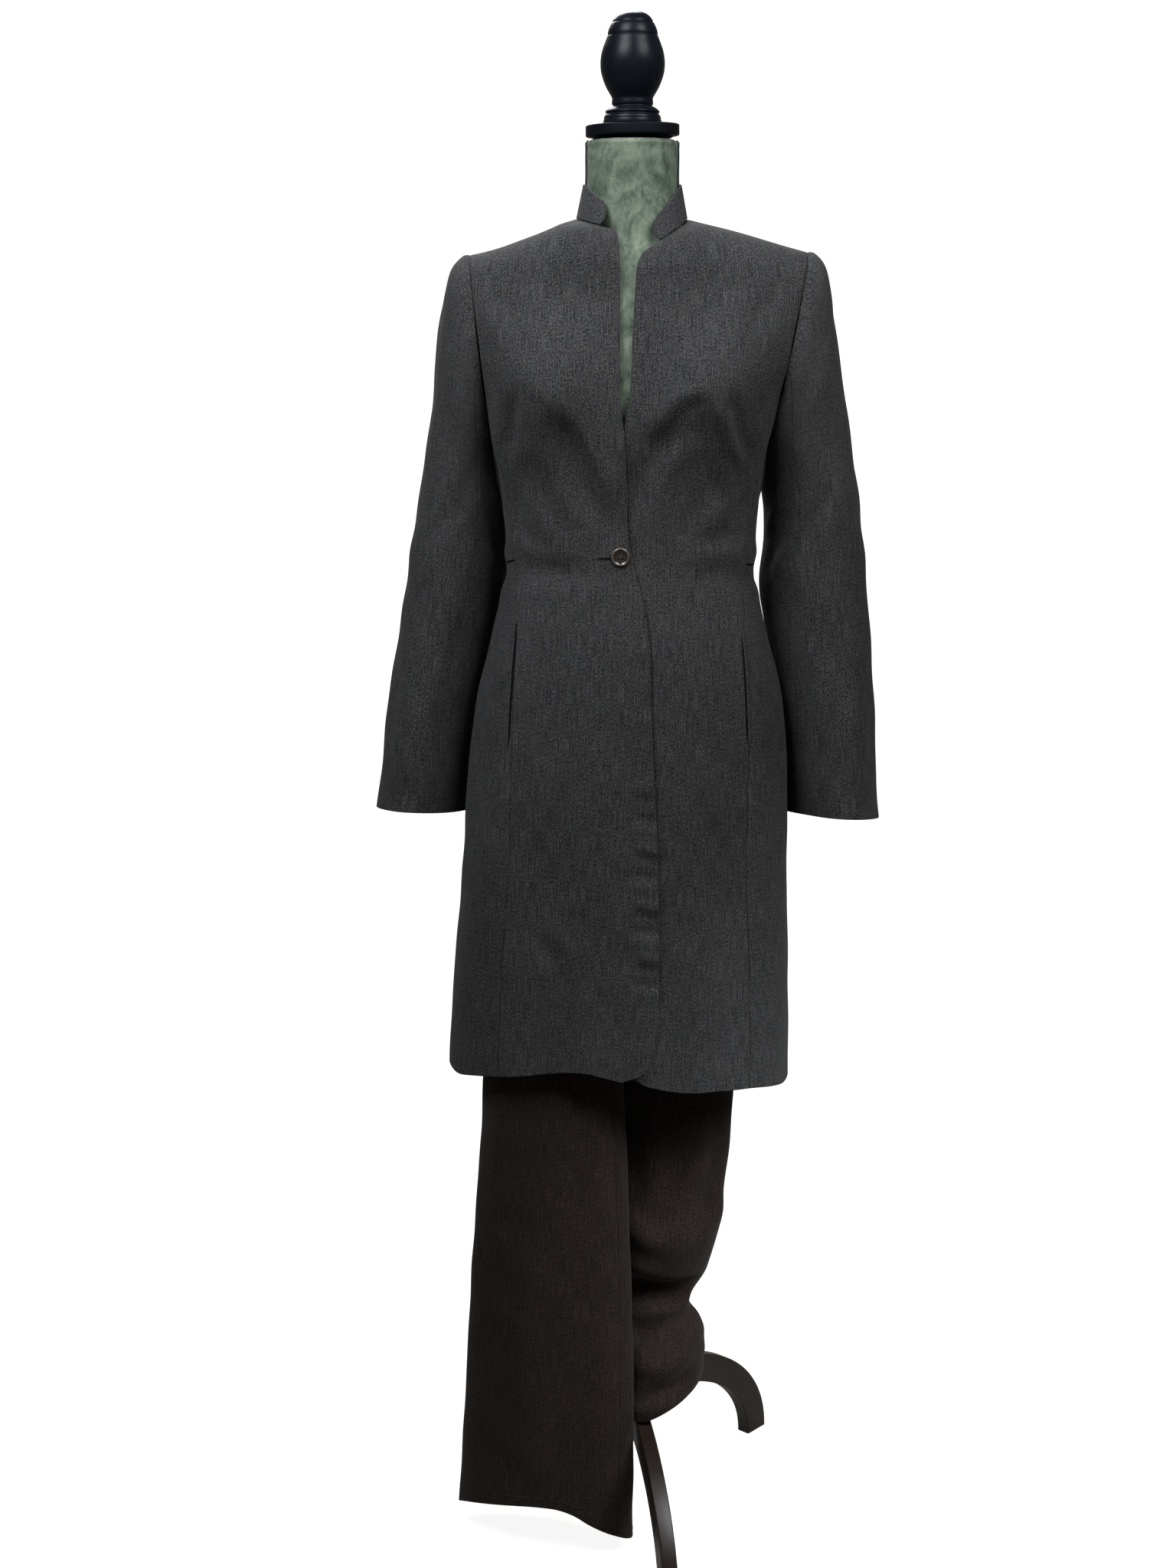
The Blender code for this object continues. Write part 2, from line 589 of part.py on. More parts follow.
def side_pitch(side, height):
    """Angle between two columns of the side panel."""
    columns = RING_STEPS - 2 * ARMHOLE_STEPS
    return (seam_angle(side, "back", height) - seam_angle(side, "front", height)) / columns


def armhole_row(side, step, which, start, columns):
    """A level row from a start angle to the armhole's point at this step, and one point past it."""
    end = armhole_point(side, arm_angle(step) if which == "front" else -arm_angle(step))
    last = seam_angle(side, which, CORNER_Z)
    row = towards(jacket_point(np.full(columns + 1, end[2]), np.linspace(start, last, columns + 1)), end)
    return np.concatenate((row, beyond(row[-1:], row[-2:-1])))


def hem_height(angle):
    return smooth_at(HEM["angle"], HEM["height"], np.degrees(angle))


def seam_columns(side, height, start, which, columns):
    """Angles from a start to the side panel's seam, and one pitch of the side panel past it."""
    last = seam_angle(side, which, height)
    past = side_pitch(side, height) * (1 if which == "front" else -1)
    return np.append(np.linspace(start, last, columns + 1), last + past)


def seam_point(side, which, height):
    """Point of a side panel's seam; near the armhole the seam is drawn to the armhole's corner."""
    turn = arm_angle(ARMHOLE_STEPS) * (1 if which == "front" else -1)
    corner = armhole_point(side, turn)
    level = jacket_point(corner[2], seam_angle(side, which, float(corner[2])))
    near = float(np.clip((height - BODY_HEIGHTS[1]) / (corner[2] - BODY_HEIGHTS[1]), 0, 1))
    return jacket_point(height, seam_angle(side, which, height)) + (corner - level) * near


def body_row(side, height, start, which, columns):
    """A level row below the armhole that ends in the seam of the side panel."""
    row = jacket_point(height, seam_columns(side, height, start, which, columns))
    share = np.append(np.linspace(0, 1, columns + 1), 1.0)[:, None] ** 2
    return row + (seam_point(side, which, height) - row[-2]) * share


def hem_rows(side, start_of, which, columns):
    """Rows that turn from the level section at the zone's top into the hem."""
    rows = []
    for share in HEM_ROWS:
        start_height = HEM_ZONE_TOP
        for _ in range(3):
            angle = seam_columns(side, HEM_ZONE_TOP, start_of(start_height), which, columns)
            heights = HEM_ZONE_TOP + (hem_height(angle) - HEM_ZONE_TOP) * share
            start_height = float(heights[0])
        rows.append(jacket_point(heights, angle))
    return rows


def body_panel(side, which, start_of, columns, first_of=None):
    """Framed grid of a front or back half, from its centre line to the armhole and the side seam."""
    turn_sign = 1 if which == "front" else -1
    chest = armhole_row(side, SHOULDER_STEPS, which, start_of(CHEST_Z), columns)[:-1]
    neck_start = NECK_CORNER_ANGLE if which == "front" else math.pi
    rows = shoulder_roll(top_edge(side, neck_start, columns), chest, side, turn_sign)
    rows = [np.concatenate((row, beyond(row[-1:], row[-2:-1]))) for row in rows]
    for step in range(SHOULDER_STEPS, ARMHOLE_STEPS + 1):
        height = float(armhole_point(side, turn_sign * arm_angle(step))[2])
        rows.append(armhole_row(side, step, which, start_of(height), columns))
    rows += [body_row(side, height, start_of(height), which, columns) for height in BODY_HEIGHTS]
    rows += hem_rows(side, start_of, which, columns)
    wide = np.array(rows)
    if which == "front":
        wide = lap(wide, side)
    grid = wide[:, :-1]
    first = None if first_of is None else first_of(grid)
    return framed(grid, first=first, last=wide[:, -1])


def front_panel(side, collection):
    """Front, from its edge to the armhole and the side panel's seam."""
    sign = -1.0 if side == "right" else 1.0

    def edge_angle(height):
        x = smooth_at(FRONT_EDGES["height"], FRONT_EDGES[side], np.array(height))
        return float(angle_of_x(np.array(height), x))

    frame = body_panel(side, "front", edge_angle, FRONT_COLUMNS)
    return cloth_panel("jacket_front_" + side, frame, "wool_jacket", collection,
                       (sign * 0.08, 0.0, 1.0), (0.0, SEAM_TRIM, SEAM_TRIM, 0.0),
                       (shoulder_seam(side, FRONT_COLUMNS), side_seam(side, "front", frame, ARMHOLE_STEPS, -1)))


def back_panel(side, collection):
    """Half of the back, from the centre back seam to the armhole and the side panel's seam."""
    sign = -1.0 if side == "right" else 1.0

    def over_centre(grid):
        return grid[:, 1] * np.array((-1.0, 1.0, 1.0))

    frame = body_panel(side, "back", lambda height: sign * math.pi, BACK_COLUMNS, over_centre)
    return cloth_panel("jacket_back_" + side, frame, "wool_jacket", collection,
                       (sign * 0.08, 0.0, 1.0), (SEAM_TRIM, SEAM_TRIM, SEAM_TRIM, 0.0),
                       (shoulder_seam(side, BACK_COLUMNS), side_seam(side, "back", frame, ARMHOLE_STEPS, -1)))


def side_panel(side, collection):
    """Side panel, from the armhole's lower part to the hem, between its two seams."""
    columns = RING_STEPS - 2 * ARMHOLE_STEPS
    top = armhole_point(side, arm_angle(ARMHOLE_STEPS - 1 + np.arange(columns + 3)))

    def angles(height):
        pitch = side_pitch(side, height)
        return seam_angle(side, "front", height) + pitch * np.arange(-1, columns + 2)

    first = jacket_point(BODY_HEIGHTS[1], angles(BODY_HEIGHTS[1]))
    top[0] = beyond(top[1], top[2])
    top[-1] = beyond(top[-2], top[-3])
    between = top + (first - top) * 0.5
    across = np.linspace(0, 1, columns + 1)
    across = np.concatenate((across[:1], across, across[-1:]))[:, None]
    between = between + (seam_point(side, "front", BODY_HEIGHTS[0]) - between[1]) * (1 - across)
    between = between + (seam_point(side, "back", BODY_HEIGHTS[0]) - between[-2]) * across
    rows = [top, between]
    rows += [jacket_point(height, angles(height)) for height in BODY_HEIGHTS[1:]]
    angle = angles(HEM_ZONE_TOP)
    rows += [jacket_point(HEM_ZONE_TOP + (hem_height(angle) - HEM_ZONE_TOP) * share, angle)
             for share in HEM_ROWS]
    wide = np.array(rows)
    frame = framed(wide[:, 1:-1], first=wide[:, 0], last=wide[:, -1])
    return cloth_panel("jacket_side_" + side, frame, "wool_jacket", collection,
                       (0.0, 0.0, 1.0), (SEAM_TRIM, SEAM_TRIM, ARMHOLE_TRIM, 0.0),
                       (side_seam(side, "front", frame, 0, 0), side_seam(side, "back", frame, 0, -1)))


# ---- Sleeves and collar ------------------------------------------------------------------------
def sleeve_panel(side, which, collection):
    """Upper or under part of a two-piece sleeve."""
    if which == "upper":
        steps = np.arange(-SLEEVE_SEAM_STEP - 1, SLEEVE_SEAM_STEP + 2)
    else:
        steps = np.arange(SLEEVE_SEAM_STEP - 1, RING_STEPS - SLEEVE_SEAM_STEP + 2)
    last = len(RIGHT_SLEEVE["outer_x"]) - 1
    ring = np.linspace(0, last, SLEEVE_ROWS)[:, None]
    wide = sleeve_point(side, ring, arm_angle(steps[None, :]))
    frame = framed(wide[:, 1:-1], first=wide[:, 0], last=wide[:, -1])
    middle = sleeve_point(side, ring[SLEEVE_ROWS // 2, 0], arm_angle(np.arange(RING_STEPS))).mean(axis=0)
    return cloth_panel("jacket_sleeve_" + which + "_" + side, frame, "wool_jacket", collection,
                       middle, (SEAM_TRIM, SEAM_TRIM, ARMHOLE_TRIM, 0.0))


def collar(collection):
    """Stand collar with sloping, open front ends."""
    start = math.radians(COLLAR_END_DEG["left"])
    end = math.radians(360.0 + COLLAR_END_DEG["right"])
    turn = np.linspace(start, end, COLLAR_COLUMNS + 1)
    angle = np.where(turn > math.pi, turn - 2 * math.pi, turn)
    base = neckline_point(angle)
    base[:, 2] += COLLAR_LIFT
    from_end = np.minimum(turn - start, end - turn)
    drop = COLLAR_END_DROP * (1 - fade(from_end, 0.0, math.radians(COLLAR_DROP_DEG)))
    rows = []
    for share in (1.0, 0.5, 0.0):
        row = base.copy()
        row[:, :2] *= 1 - share * COLLAR_LEAN / NECK_HALF_WIDTH
        row[:, 2] += share * (COLLAR_HEIGHT - drop)
        rows.append(row)
    return cloth_panel("jacket_collar", framed(np.array(rows)), "wool_jacket", collection,
                       (0.0, 0.0, NECK_SIDE_Z))


def button(collection):
    """Round button with a rolled rim, standing just clear of the lapped front."""
    seat = jacket_point(np.array(BUTTON_Z), angle_of_x(np.array(BUTTON_Z), np.array(BUTTON_X)))
    face_y = float(seat[1]) - LAP_STEP - BUTTON_STAND_OFF
    shape = bmesh.new()
    bmesh.ops.create_cone(shape, cap_ends=True, segments=20, radius1=BUTTON_RADIUS,
                          radius2=BUTTON_RADIUS * 0.93, depth=BUTTON_THICKNESS)
    bmesh.ops.transform(shape, matrix=Matrix.Rotation(math.pi / 2, 4, "X"), verts=shape.verts)
    mesh = mesh_from_bmesh("jacket_button", shape)
    made = add_object("jacket_button", mesh, "horn", collection)
    made.location = (BUTTON_X, face_y - BUTTON_THICKNESS / 2, BUTTON_Z)
    return made


# ---- Trousers ----------------------------------------------------------------------------------
def trouser_top_row(side, height, half, columns):
    """Row of a trouser panel above the fork, from the outer seam to the centre seam.

    One point more on either side belongs to the panels beyond the two seams.
    """
    read = {name: float(smooth_at(TROUSER_TOP["height"], values, np.array(height)))
            for name, values in TROUSER_TOP.items()}
    sign = -1.0 if side == "right" else 1.0
    outer, reach, power = read["outer_" + side], read["reach_" + side], read["power"]
    middle = sign * (outer - reach)
    cut = np.clip(-sign * (read["seam"] - middle) / reach, -1.0, 1.0)
    last = math.pi - math.acos(np.sign(cut) * abs(cut) ** (power / 2))
    turn = np.linspace(0.0, last, columns + 1)
    turn = np.append(-turn[1], turn)
    depth = -read["front"] if half == "front" else read["back"]
    c, s = np.cos(turn), np.sin(turn)
    row = np.stack((middle + sign * reach * np.sign(c) * np.abs(c) ** (2 / power),
                    depth * np.sign(s) * np.abs(s) ** (2 / power), np.full(len(turn), height)), axis=-1)
    over = row[-2] * np.array((-1.0, 1.0, 1.0)) + np.array((2 * row[-1][0], 0.0, 0.0))
    return np.concatenate((row, over[None]))


def leg_point(side, height, turn):
    """Point of a leg's tube; the angle runs from the outer seam, positive over the front."""
    rows = RIGHT_LEG if side == "right" else LEFT_LEG
    height, turn = np.broadcast_arrays(np.asarray(height, float), np.asarray(turn, float))
    read = {name: smooth_at(rows["height"], values, height) for name, values in rows.items()}
    across = (read["outer"] - read["inner"]) / 2 * np.cos(turn)
    along = -read["half_depth"] * np.sin(turn)
    twist = np.radians(read["turn"])
    x = (read["outer"] + read["inner"]) / 2 + across * np.cos(twist) - along * np.sin(twist)
    y = read["middle_y"] + across * np.sin(twist) + along * np.cos(twist)
    return np.stack((x, y, height), axis=-1)


def leg_panel(side, half, collection):
    """Front or back of one trouser leg, from the waistband to the hem."""
    half_sign = 1 if half == "front" else -1
    turn = half_sign * np.arange(-1, LEG_COLUMNS + 2) * math.pi / LEG_COLUMNS
    rows = [trouser_top_row(side, height, half, LEG_COLUMNS) for height in HIP_HEIGHTS]
    heights, hem = (RIGHT_LEG_HEIGHTS, RIGHT_LEG_HEM) if side == "right" else (LEFT_LEG_HEIGHTS, LEFT_LEG_HEM)
    rows += [leg_point(side, height, turn) for height in heights]
    rows.append(leg_point(side, smooth_at(hem["turn"], hem["height"], np.degrees(turn) % 360.0), turn))
    wide = np.array(rows)
    frame = framed(wide[:, 1:-1], first=wide[:, 0], last=wide[:, -1])
    inside = wide[len(rows) // 2, 1:-1].mean(axis=0) + np.array((0.0, 0.05 * half_sign, 0.0))
    return cloth_panel("trouser_" + half + "_" + side, frame, "wool_trousers", collection,
                       inside, (SEAM_TRIM, FORK_TRIM, SEAM_TRIM, 0.0))


def form_outline(height, angle, ease=0.0):
    """Level outline of the dress form, let out by an ease."""
    read = {name: smooth_at(FORM_SECTIONS["height"], values, np.asarray(height, float))
            for name, values in FORM_SECTIONS.items()}
    x, y = superellipse(angle, read["half_width"] + ease, read["half_width"] + ease,
                        read["front"] + ease, read["back"] + ease, read["power"])
    y = y - np.where(np.cos(angle) > 0, cup_rise(x, np.full(x.shape, height), FORM_CUP_SHARE), 0.0)
    return np.stack((x, y, np.full(x.shape, float(height))), axis=-1)


def waistband(collection):
    """Plain band round the form's waist, with a narrow opening at the centre front."""
    gap = math.radians(WAISTBAND_GAP_DEG)
    turn = np.linspace(gap, 2 * math.pi - gap, WAISTBAND_COLUMNS + 1)
    bottom = HIP_HEIGHTS[0] + 2 * SEAM_TRIM
    rows = [form_outline(height, turn, WAISTBAND_EASE)
            for height in np.linspace(WAISTBAND_TOP, bottom, 3)]
    return cloth_panel("trouser_waistband", framed(np.array(rows)), "wool_trousers", collection,
                       (0.0, 0.0, bottom))


# ---- Dress form --------------------------------------------------------------------------------
def form_torso(collection):
    """Closed body of the form: rings through its sections, capped flat at the neck and the base."""
    turn = np.arange(FORM_COLUMNS) * 2 * math.pi / FORM_COLUMNS
    heights = np.sort(np.concatenate((FORM_SECTIONS["height"], FORM_EXTRA_HEIGHTS)))[::-1]
    shape = bmesh.new()
    rings = [[shape.verts.new(point) for point in form_outline(height, turn)] for height in heights]
    for upper, lower in zip(rings[:-1], rings[1:]):
        for i in range(FORM_COLUMNS):
            j = (i + 1) % FORM_COLUMNS
            shape.faces.new((upper[i], lower[i], lower[j], upper[j]))
    shape.faces.new(rings[0])
    shape.faces.new(rings[-1][::-1])
    bmesh.ops.recalc_face_normals(shape, faces=shape.faces)
    mesh = mesh_from_bmesh("form_torso", shape)
    shade_round(mesh)
    return add_object("form_torso", mesh, "velvet", collection)


def form_base(collection):
    """Flat board that closes the form's lower end."""
    low = float(FORM_SECTIONS["height"][-1])
    turn = np.arange(FORM_COLUMNS) * 2 * math.pi / FORM_COLUMNS
    edge = form_outline(low, turn, -FORM_BASE_INSET)
    outline = flat_outline("form_base_board", edge[:, :2], FORM_BASE_THICKNESS)
    made = add_object("form_base_board", outline, "dark_wood", collection)
    made.location = (0.0, 0.0, low - CONTACT_GAP - FORM_BASE_THICKNESS / 2)
    return made


def turned(name, radii, heights, finish, collection):
    """Turned piece: the profile runs down its outside, and Screw carries it round the Z axis."""
    mesh = bpy.data.meshes.new(name)
    points = [(r, 0.0, z) for r, z in zip(radii, heights)]
    mesh.from_pydata(points, [(i, i + 1) for i in range(len(points) - 1)], [])
    made = add_object(name, mesh, finish, collection)
    screw = made.modifiers.new("turn", "SCREW")
    screw.steps = TURNED_STEPS
    screw.render_steps = TURNED_STEPS
    screw.use_merge_vertices = True
    screw.merge_threshold = 0.00002
    screw.use_smooth_shade = True
    return made


def finial(collection):
    return turned("finial", FINIAL["radius"], FINIAL["height"], "lacquer", collection)


def neck_cap(collection):
    """Round cap with a small foot, sitting a little tilted on the neck."""
    foot = CAP_TOP - CAP_THICKNESS
    edge = 0.0012
    radii = (0.0, CAP_RADIUS - edge, CAP_RADIUS, CAP_RADIUS, CAP_RADIUS - edge,
             CAP_FOOT_RADIUS, CAP_FOOT_RADIUS, 0.0)
    drops = (0.0, 0.0, edge, CAP_THICKNESS - edge, CAP_THICKNESS,
             CAP_THICKNESS, CAP_THICKNESS + CAP_FOOT, CAP_THICKNESS + CAP_FOOT)
    made = turned("neck_cap", radii, [-drop for drop in drops], "lacquer", collection)
    made.location = (0.0, 0.0, foot + CAP_THICKNESS)
    made.rotation_euler = (0.0, math.radians(-CAP_TILT_DEG), 0.0)
    return made


# ---- Stand -------------------------------------------------------------------------------------
def pole(collection):
    top = float(FORM_SECTIONS["height"][-1]) - FORM_BASE_THICKNESS - 2 * CONTACT_GAP
    bottom = HUB_TOP + CONTACT_GAP
    shape = bmesh.new()
    bmesh.ops.create_cone(shape, cap_ends=True, segments=20, radius1=POLE_RADIUS, radius2=POLE_RADIUS,
                          depth=top - bottom)
    mesh = mesh_from_bmesh("pole", shape)
    shade_round(mesh)
    made = add_object("pole", mesh, "steel", collection)
    made.location = (0.0, 0.0, (top + bottom) / 2)
    return made


def hub(collection):
    """Turned hub that carries the legs, with a rounded shoulder and a small drop below."""
    edge = 0.004
    radii = (0.0, HUB_RADIUS - edge, HUB_RADIUS, HUB_RADIUS, HUB_RADIUS * 0.8, HUB_RADIUS * 0.5, 0.0)
    heights = (HUB_TOP, HUB_TOP, HUB_TOP - edge, HUB_BOTTOM + 0.03, HUB_BOTTOM + 0.012, HUB_BOTTOM, HUB_BOTTOM)
    return turned("hub", radii, heights, "dark_wood", collection)


def stand_leg(name, azimuth_deg, collection):
    """Arched board: a quarter ellipse for its top edge, and a smaller one for its lower edge."""
    turn = np.linspace(math.pi / 2, 0.0, LEG_ARC_STEPS + 1)
    outer = [(LEG_ROOT + LEG_SPAN * math.cos(a), LEG_TOP * math.sin(a)) for a in turn]
    inner = [(LEG_ROOT + (LEG_SPAN - LEG_DEPTH) * math.cos(a), (LEG_TOP - LEG_DEPTH) * math.sin(a))
             for a in turn[::-1]]
    outline = flat_outline(name, outer + inner, LEG_THICKNESS)
    made = add_object(name, outline, "dark_wood", collection)
    made.rotation_euler = (math.pi / 2, 0.0, math.radians(azimuth_deg))
    return made


# ---- The whole -----------------------------------------------------------------------------------
def stand_on_origin(collection):
    """Move every piece so that the object's box has the middle of its base at the origin."""
    bpy.context.view_layer.update()
    graph = bpy.context.evaluated_depsgraph_get()
    corners = []
    for piece in collection.objects:
        shape = piece.evaluated_get(graph).to_mesh()
        points = np.empty(len(shape.vertices) * 3)
        shape.vertices.foreach_get("co", points)
        world = np.array(piece.matrix_world)
        points = points.reshape(-1, 3) @ world[:3, :3].T + world[:3, 3]
        corners += [points.min(axis=0), points.max(axis=0)]
    low, high = np.min(corners, axis=0), np.max(corners, axis=0)
    middle = (low + high) / 2
    for piece in collection.objects:
        piece.location -= Vector((middle[0], middle[1], low[2]))


def build():
    clear_scene()
    collection = make_collection()
    for side in ("right", "left"):
        front_panel(side, collection)
        side_panel(side, collection)
        back_panel(side, collection)
        sleeve_panel(side, "upper", collection)
        sleeve_panel(side, "under", collection)
        leg_panel(side, "front", collection)
        leg_panel(side, "back", collection)
    collar(collection)
    button(collection)
    waistband(collection)
    form_torso(collection)
    form_base(collection)
    neck_cap(collection)
    finial(collection)
    pole(collection)
    hub(collection)
    for place, azimuth in LEG_AZIMUTHS_DEG.items():
        stand_leg("stand_leg_" + place, azimuth, collection)
    stand_on_origin(collection)


build()
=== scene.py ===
# %% [markdown]
# # A two-piece suit on a dress form
#
# This lesson finishes a women's suit: a long jacket and a pair of trousers, hanging on a dress form
# with three curved legs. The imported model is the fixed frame. Every piece made here is put where
# the frame says, and carries the look: creases, seams, weave, velvet, lacquer and wood.
#
# All cloth is worked out as arrays. A panel starts as a coarse lattice of points, as a cutter
# thinks of it: rows at known heights, seams at known places. A smooth surface is drawn through the
# lattice, folds are added along its normals, and its edges are turned in.

# %% Load the frame
import json
import math

import bpy
import numpy as np
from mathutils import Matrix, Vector
from mathutils.bvhtree import BVHTree

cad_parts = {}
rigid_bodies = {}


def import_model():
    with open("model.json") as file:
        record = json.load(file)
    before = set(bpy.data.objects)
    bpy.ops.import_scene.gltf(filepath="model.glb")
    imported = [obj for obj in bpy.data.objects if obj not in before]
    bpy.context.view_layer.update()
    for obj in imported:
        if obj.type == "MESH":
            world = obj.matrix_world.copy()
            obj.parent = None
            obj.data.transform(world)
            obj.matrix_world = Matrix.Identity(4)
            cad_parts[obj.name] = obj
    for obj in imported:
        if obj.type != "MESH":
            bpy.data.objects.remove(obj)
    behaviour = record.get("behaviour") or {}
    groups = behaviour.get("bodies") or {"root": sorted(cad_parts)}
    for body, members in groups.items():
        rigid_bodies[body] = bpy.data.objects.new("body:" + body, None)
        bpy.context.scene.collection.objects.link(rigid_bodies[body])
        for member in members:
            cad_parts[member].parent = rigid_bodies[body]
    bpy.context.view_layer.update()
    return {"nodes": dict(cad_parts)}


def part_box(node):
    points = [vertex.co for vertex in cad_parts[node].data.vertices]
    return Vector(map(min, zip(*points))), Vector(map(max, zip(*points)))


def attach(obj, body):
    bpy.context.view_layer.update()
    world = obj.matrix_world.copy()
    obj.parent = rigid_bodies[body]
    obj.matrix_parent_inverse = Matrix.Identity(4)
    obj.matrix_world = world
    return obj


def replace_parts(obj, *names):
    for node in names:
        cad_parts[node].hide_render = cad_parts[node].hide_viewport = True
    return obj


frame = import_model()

pole_low, pole_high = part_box("pole")
AXIS = np.array(((pole_low.x + pole_high.x) / 2, (pole_low.y + pole_high.y) / 2, 0.0))
print("frame:", len(frame["nodes"]), "nodes; the pole stands at", np.round(AXIS[:2], 4))

# %% [markdown]
# ## Tables and smooth curves
#
# Sizes are kept in short tables with named columns. A smooth curve is read between the rows. The
# curve is linear in its values, so reading it is one matrix product. The same matrix reads a number,
# a point or a whole row of points, and its partner gives the slope.

# %% Tables and smooth curves
def table(names, *rows):
    """A table with named columns: each name leads to an array with one value for every row."""
    columns = np.array(rows, dtype=float).T
    return dict(zip(names.split(), columns))


def spline_matrices(places, at):
    """Two matrices: one reads a smooth curve at the given places, the other reads its slope.

    Each stretch is a cubic. Its slope at a place is the mean of the chords on the two sides.
    """
    count = len(places)
    width = np.diff(places)
    unit = np.eye(count)
    chord = (unit[1:] - unit[:-1]) / width[:, None]
    slope = np.concatenate((chord[:1], (chord[1:] + chord[:-1]) / 2, chord[-1:]))
    i = np.clip(np.searchsorted(places, at) - 1, 0, count - 2)
    w = width[i][:, None]
    t = np.clip((at - places[i]) / width[i], 0, 1)[:, None]
    value = ((1 + 2 * t) * (1 - t) ** 2 * unit[i] + t * (1 - t) ** 2 * w * slope[i]
             + t * t * (3 - 2 * t) * unit[i + 1] + t * t * (t - 1) * w * slope[i + 1])
    rate = ((6 * t * t - 6 * t) / w * (unit[i] - unit[i + 1])
            + (3 * t * t - 4 * t + 1) * slope[i] + (3 * t * t - 2 * t) * slope[i + 1])
    return value, rate


def smooth_at(places, values, at):
    """Smooth curve through (places, values), read at the given places."""
    order = np.argsort(places)
    weights, _ = spline_matrices(places[order], np.ravel(at).astype(float))
    return (weights @ values[order]).reshape(np.shape(at))


def fade(value, start, end):
    """0 at start, 1 at end, with level ends."""
    t = np.clip((value - start) / (end - start), 0, 1)
    return t * t * (3 - 2 * t)


print("a curve through 0, 1, 0 read halfway:", smooth_at(np.arange(3.0), np.array((0.0, 1, 0)), 0.5))

# %% [markdown]
# ## The room
#
# The suit stands on a pale round floor that sweeps up into a wall, as a studio's paper does, so no
# line crosses the picture from any side. Dark cloth needs broad light: small lamps would give hard spots and black
# hollows. Two large soft panels stand in front, left and right, and one hangs above. The camera is
# held a little above the waist's height and tipped down, so the hem and the feet are seen from above.

# %% Floor, light and camera
FLOOR_RADIUS = 4.4       # the floor is level this far out from the suit
SWEEP_RADIUS = 1.4       # radius of the round corner between the floor and the wall
WALL_TOP = 5.2
PAPER_SHADE = (0.29, 0.275, 0.25)   # warm white, as it returns light to the cloth
PAPER_GLOW = 0.07        # the paper's own light, which fills the room
PAPER_SEEN = 0.84        # more of it, that only the eye sees, so the paper stays pale where no lamp reaches
CAMERA_SIDE, CAMERA_BACK, CAMERA_HEIGHT = -0.0482, -2.53, 1.443
CAMERA_TIP_DEG = 12.0
LENS_MM = 51.5           # on a frame 36 mm high


def studio_floor():
    """Round sheet: its profile runs level, then a quarter circle, then straight up to the wall's top."""
    turn = np.linspace(0, math.pi / 2, 24)
    radius = np.concatenate(([0.02, 1.5], FLOOR_RADIUS + SWEEP_RADIUS * np.sin(turn), [FLOOR_RADIUS + SWEEP_RADIUS]))
    height = np.concatenate(([0.0, 0.0], SWEEP_RADIUS * (1 - np.cos(turn)), [WALL_TOP]))
    around = np.linspace(0, 2 * math.pi, 96, endpoint=False)
    points = np.stack(np.broadcast_arrays(radius[:, None] * np.cos(around), radius[:, None] * np.sin(around),
                                          height[:, None]), axis=-1)
    number = np.arange(points[..., 0].size).reshape(len(radius), len(around))
    ahead = np.roll(number, -1, axis=1)
    faces = np.stack((number[:-1], number[1:], ahead[1:], ahead[:-1]), axis=-1).reshape(-1, 4)
    mesh = bpy.data.meshes.new("studio_floor")
    mesh.from_pydata(points.reshape(-1, 3).tolist(), [], faces.tolist() + [number[0].tolist()])
    mesh.shade_smooth()
    paper = bpy.data.materials.new("studio_paper")
    paper.use_nodes = True
    shader = paper.node_tree.nodes["Principled BSDF"]
    shader.inputs["Base Color"].default_value = (*PAPER_SHADE, 1)
    shader.inputs["Roughness"].default_value = 0.9
    shader.inputs["Emission Color"].default_value = (1, 1, 1, 1)
    path = paper.node_tree.nodes.new("ShaderNodeLightPath")
    glow = paper.node_tree.nodes.new("ShaderNodeMath")
    glow.operation = "MULTIPLY_ADD"
    glow.inputs[1].default_value, glow.inputs[2].default_value = PAPER_SEEN, PAPER_GLOW
    paper.node_tree.links.new(path.outputs["Is Camera Ray"], glow.inputs[0])
    paper.node_tree.links.new(glow.outputs[0], shader.inputs["Emission Strength"])
    mesh.materials.append(paper)
    made = bpy.data.objects.new("studio_floor", mesh)
    bpy.context.scene.collection.objects.link(made)
    return made


def soft_panel(name, place, aim, size, power, spread, tint):
    """Square light panel that faces a point; spread is the angle of its grid, in radians."""
    lamp = bpy.data.lights.new(name, "AREA")
    lamp.shape, lamp.size, lamp.energy, lamp.spread, lamp.color = "SQUARE", size, power, spread, tint
    made = bpy.data.objects.new(name, lamp)
    made.location = place
    made.rotation_euler = (Vector(aim) - Vector(place)).to_track_quat("-Z", "Y").to_euler()
    bpy.context.scene.collection.objects.link(made)
    return made


studio_floor()
soft_panel("light_left", (-0.80, -0.98, 2.72), (-0.05, 0, 1.50), 0.9, 11.5, 1.40, (0.93, 0.965, 1.0))
soft_panel("light_right", (0.92, -0.95, 2.66), (0.05, 0, 1.50), 0.9, 7.9, 1.40, (0.96, 0.98, 1.0))
soft_panel("light_low", (0.2, -2.6, 1.3), (0, 0, 0.7), 1.2, 0.85, 2.6, (1.0, 0.94, 0.88))
soft_panel("light_side", (0.80, -0.60, 1.25), (0.06, -0.02, 0.26), 0.45, 1.10, 0.62, (0.93, 0.97, 1.0))
soft_panel("light_rear", (-0.3, 1.35, 2.7), (0, 0, 1.35), 1.0, 11, 1.7, (0.97, 0.98, 1.0))
soft_panel("light_paper", (0.0, 2.4, 3.6), (0, 5.0, 0.7), 2.4, 90, 2.6, (1, 1, 1))
world = bpy.data.worlds.new("studio_air")
bpy.context.scene.world = world
world.use_nodes = True
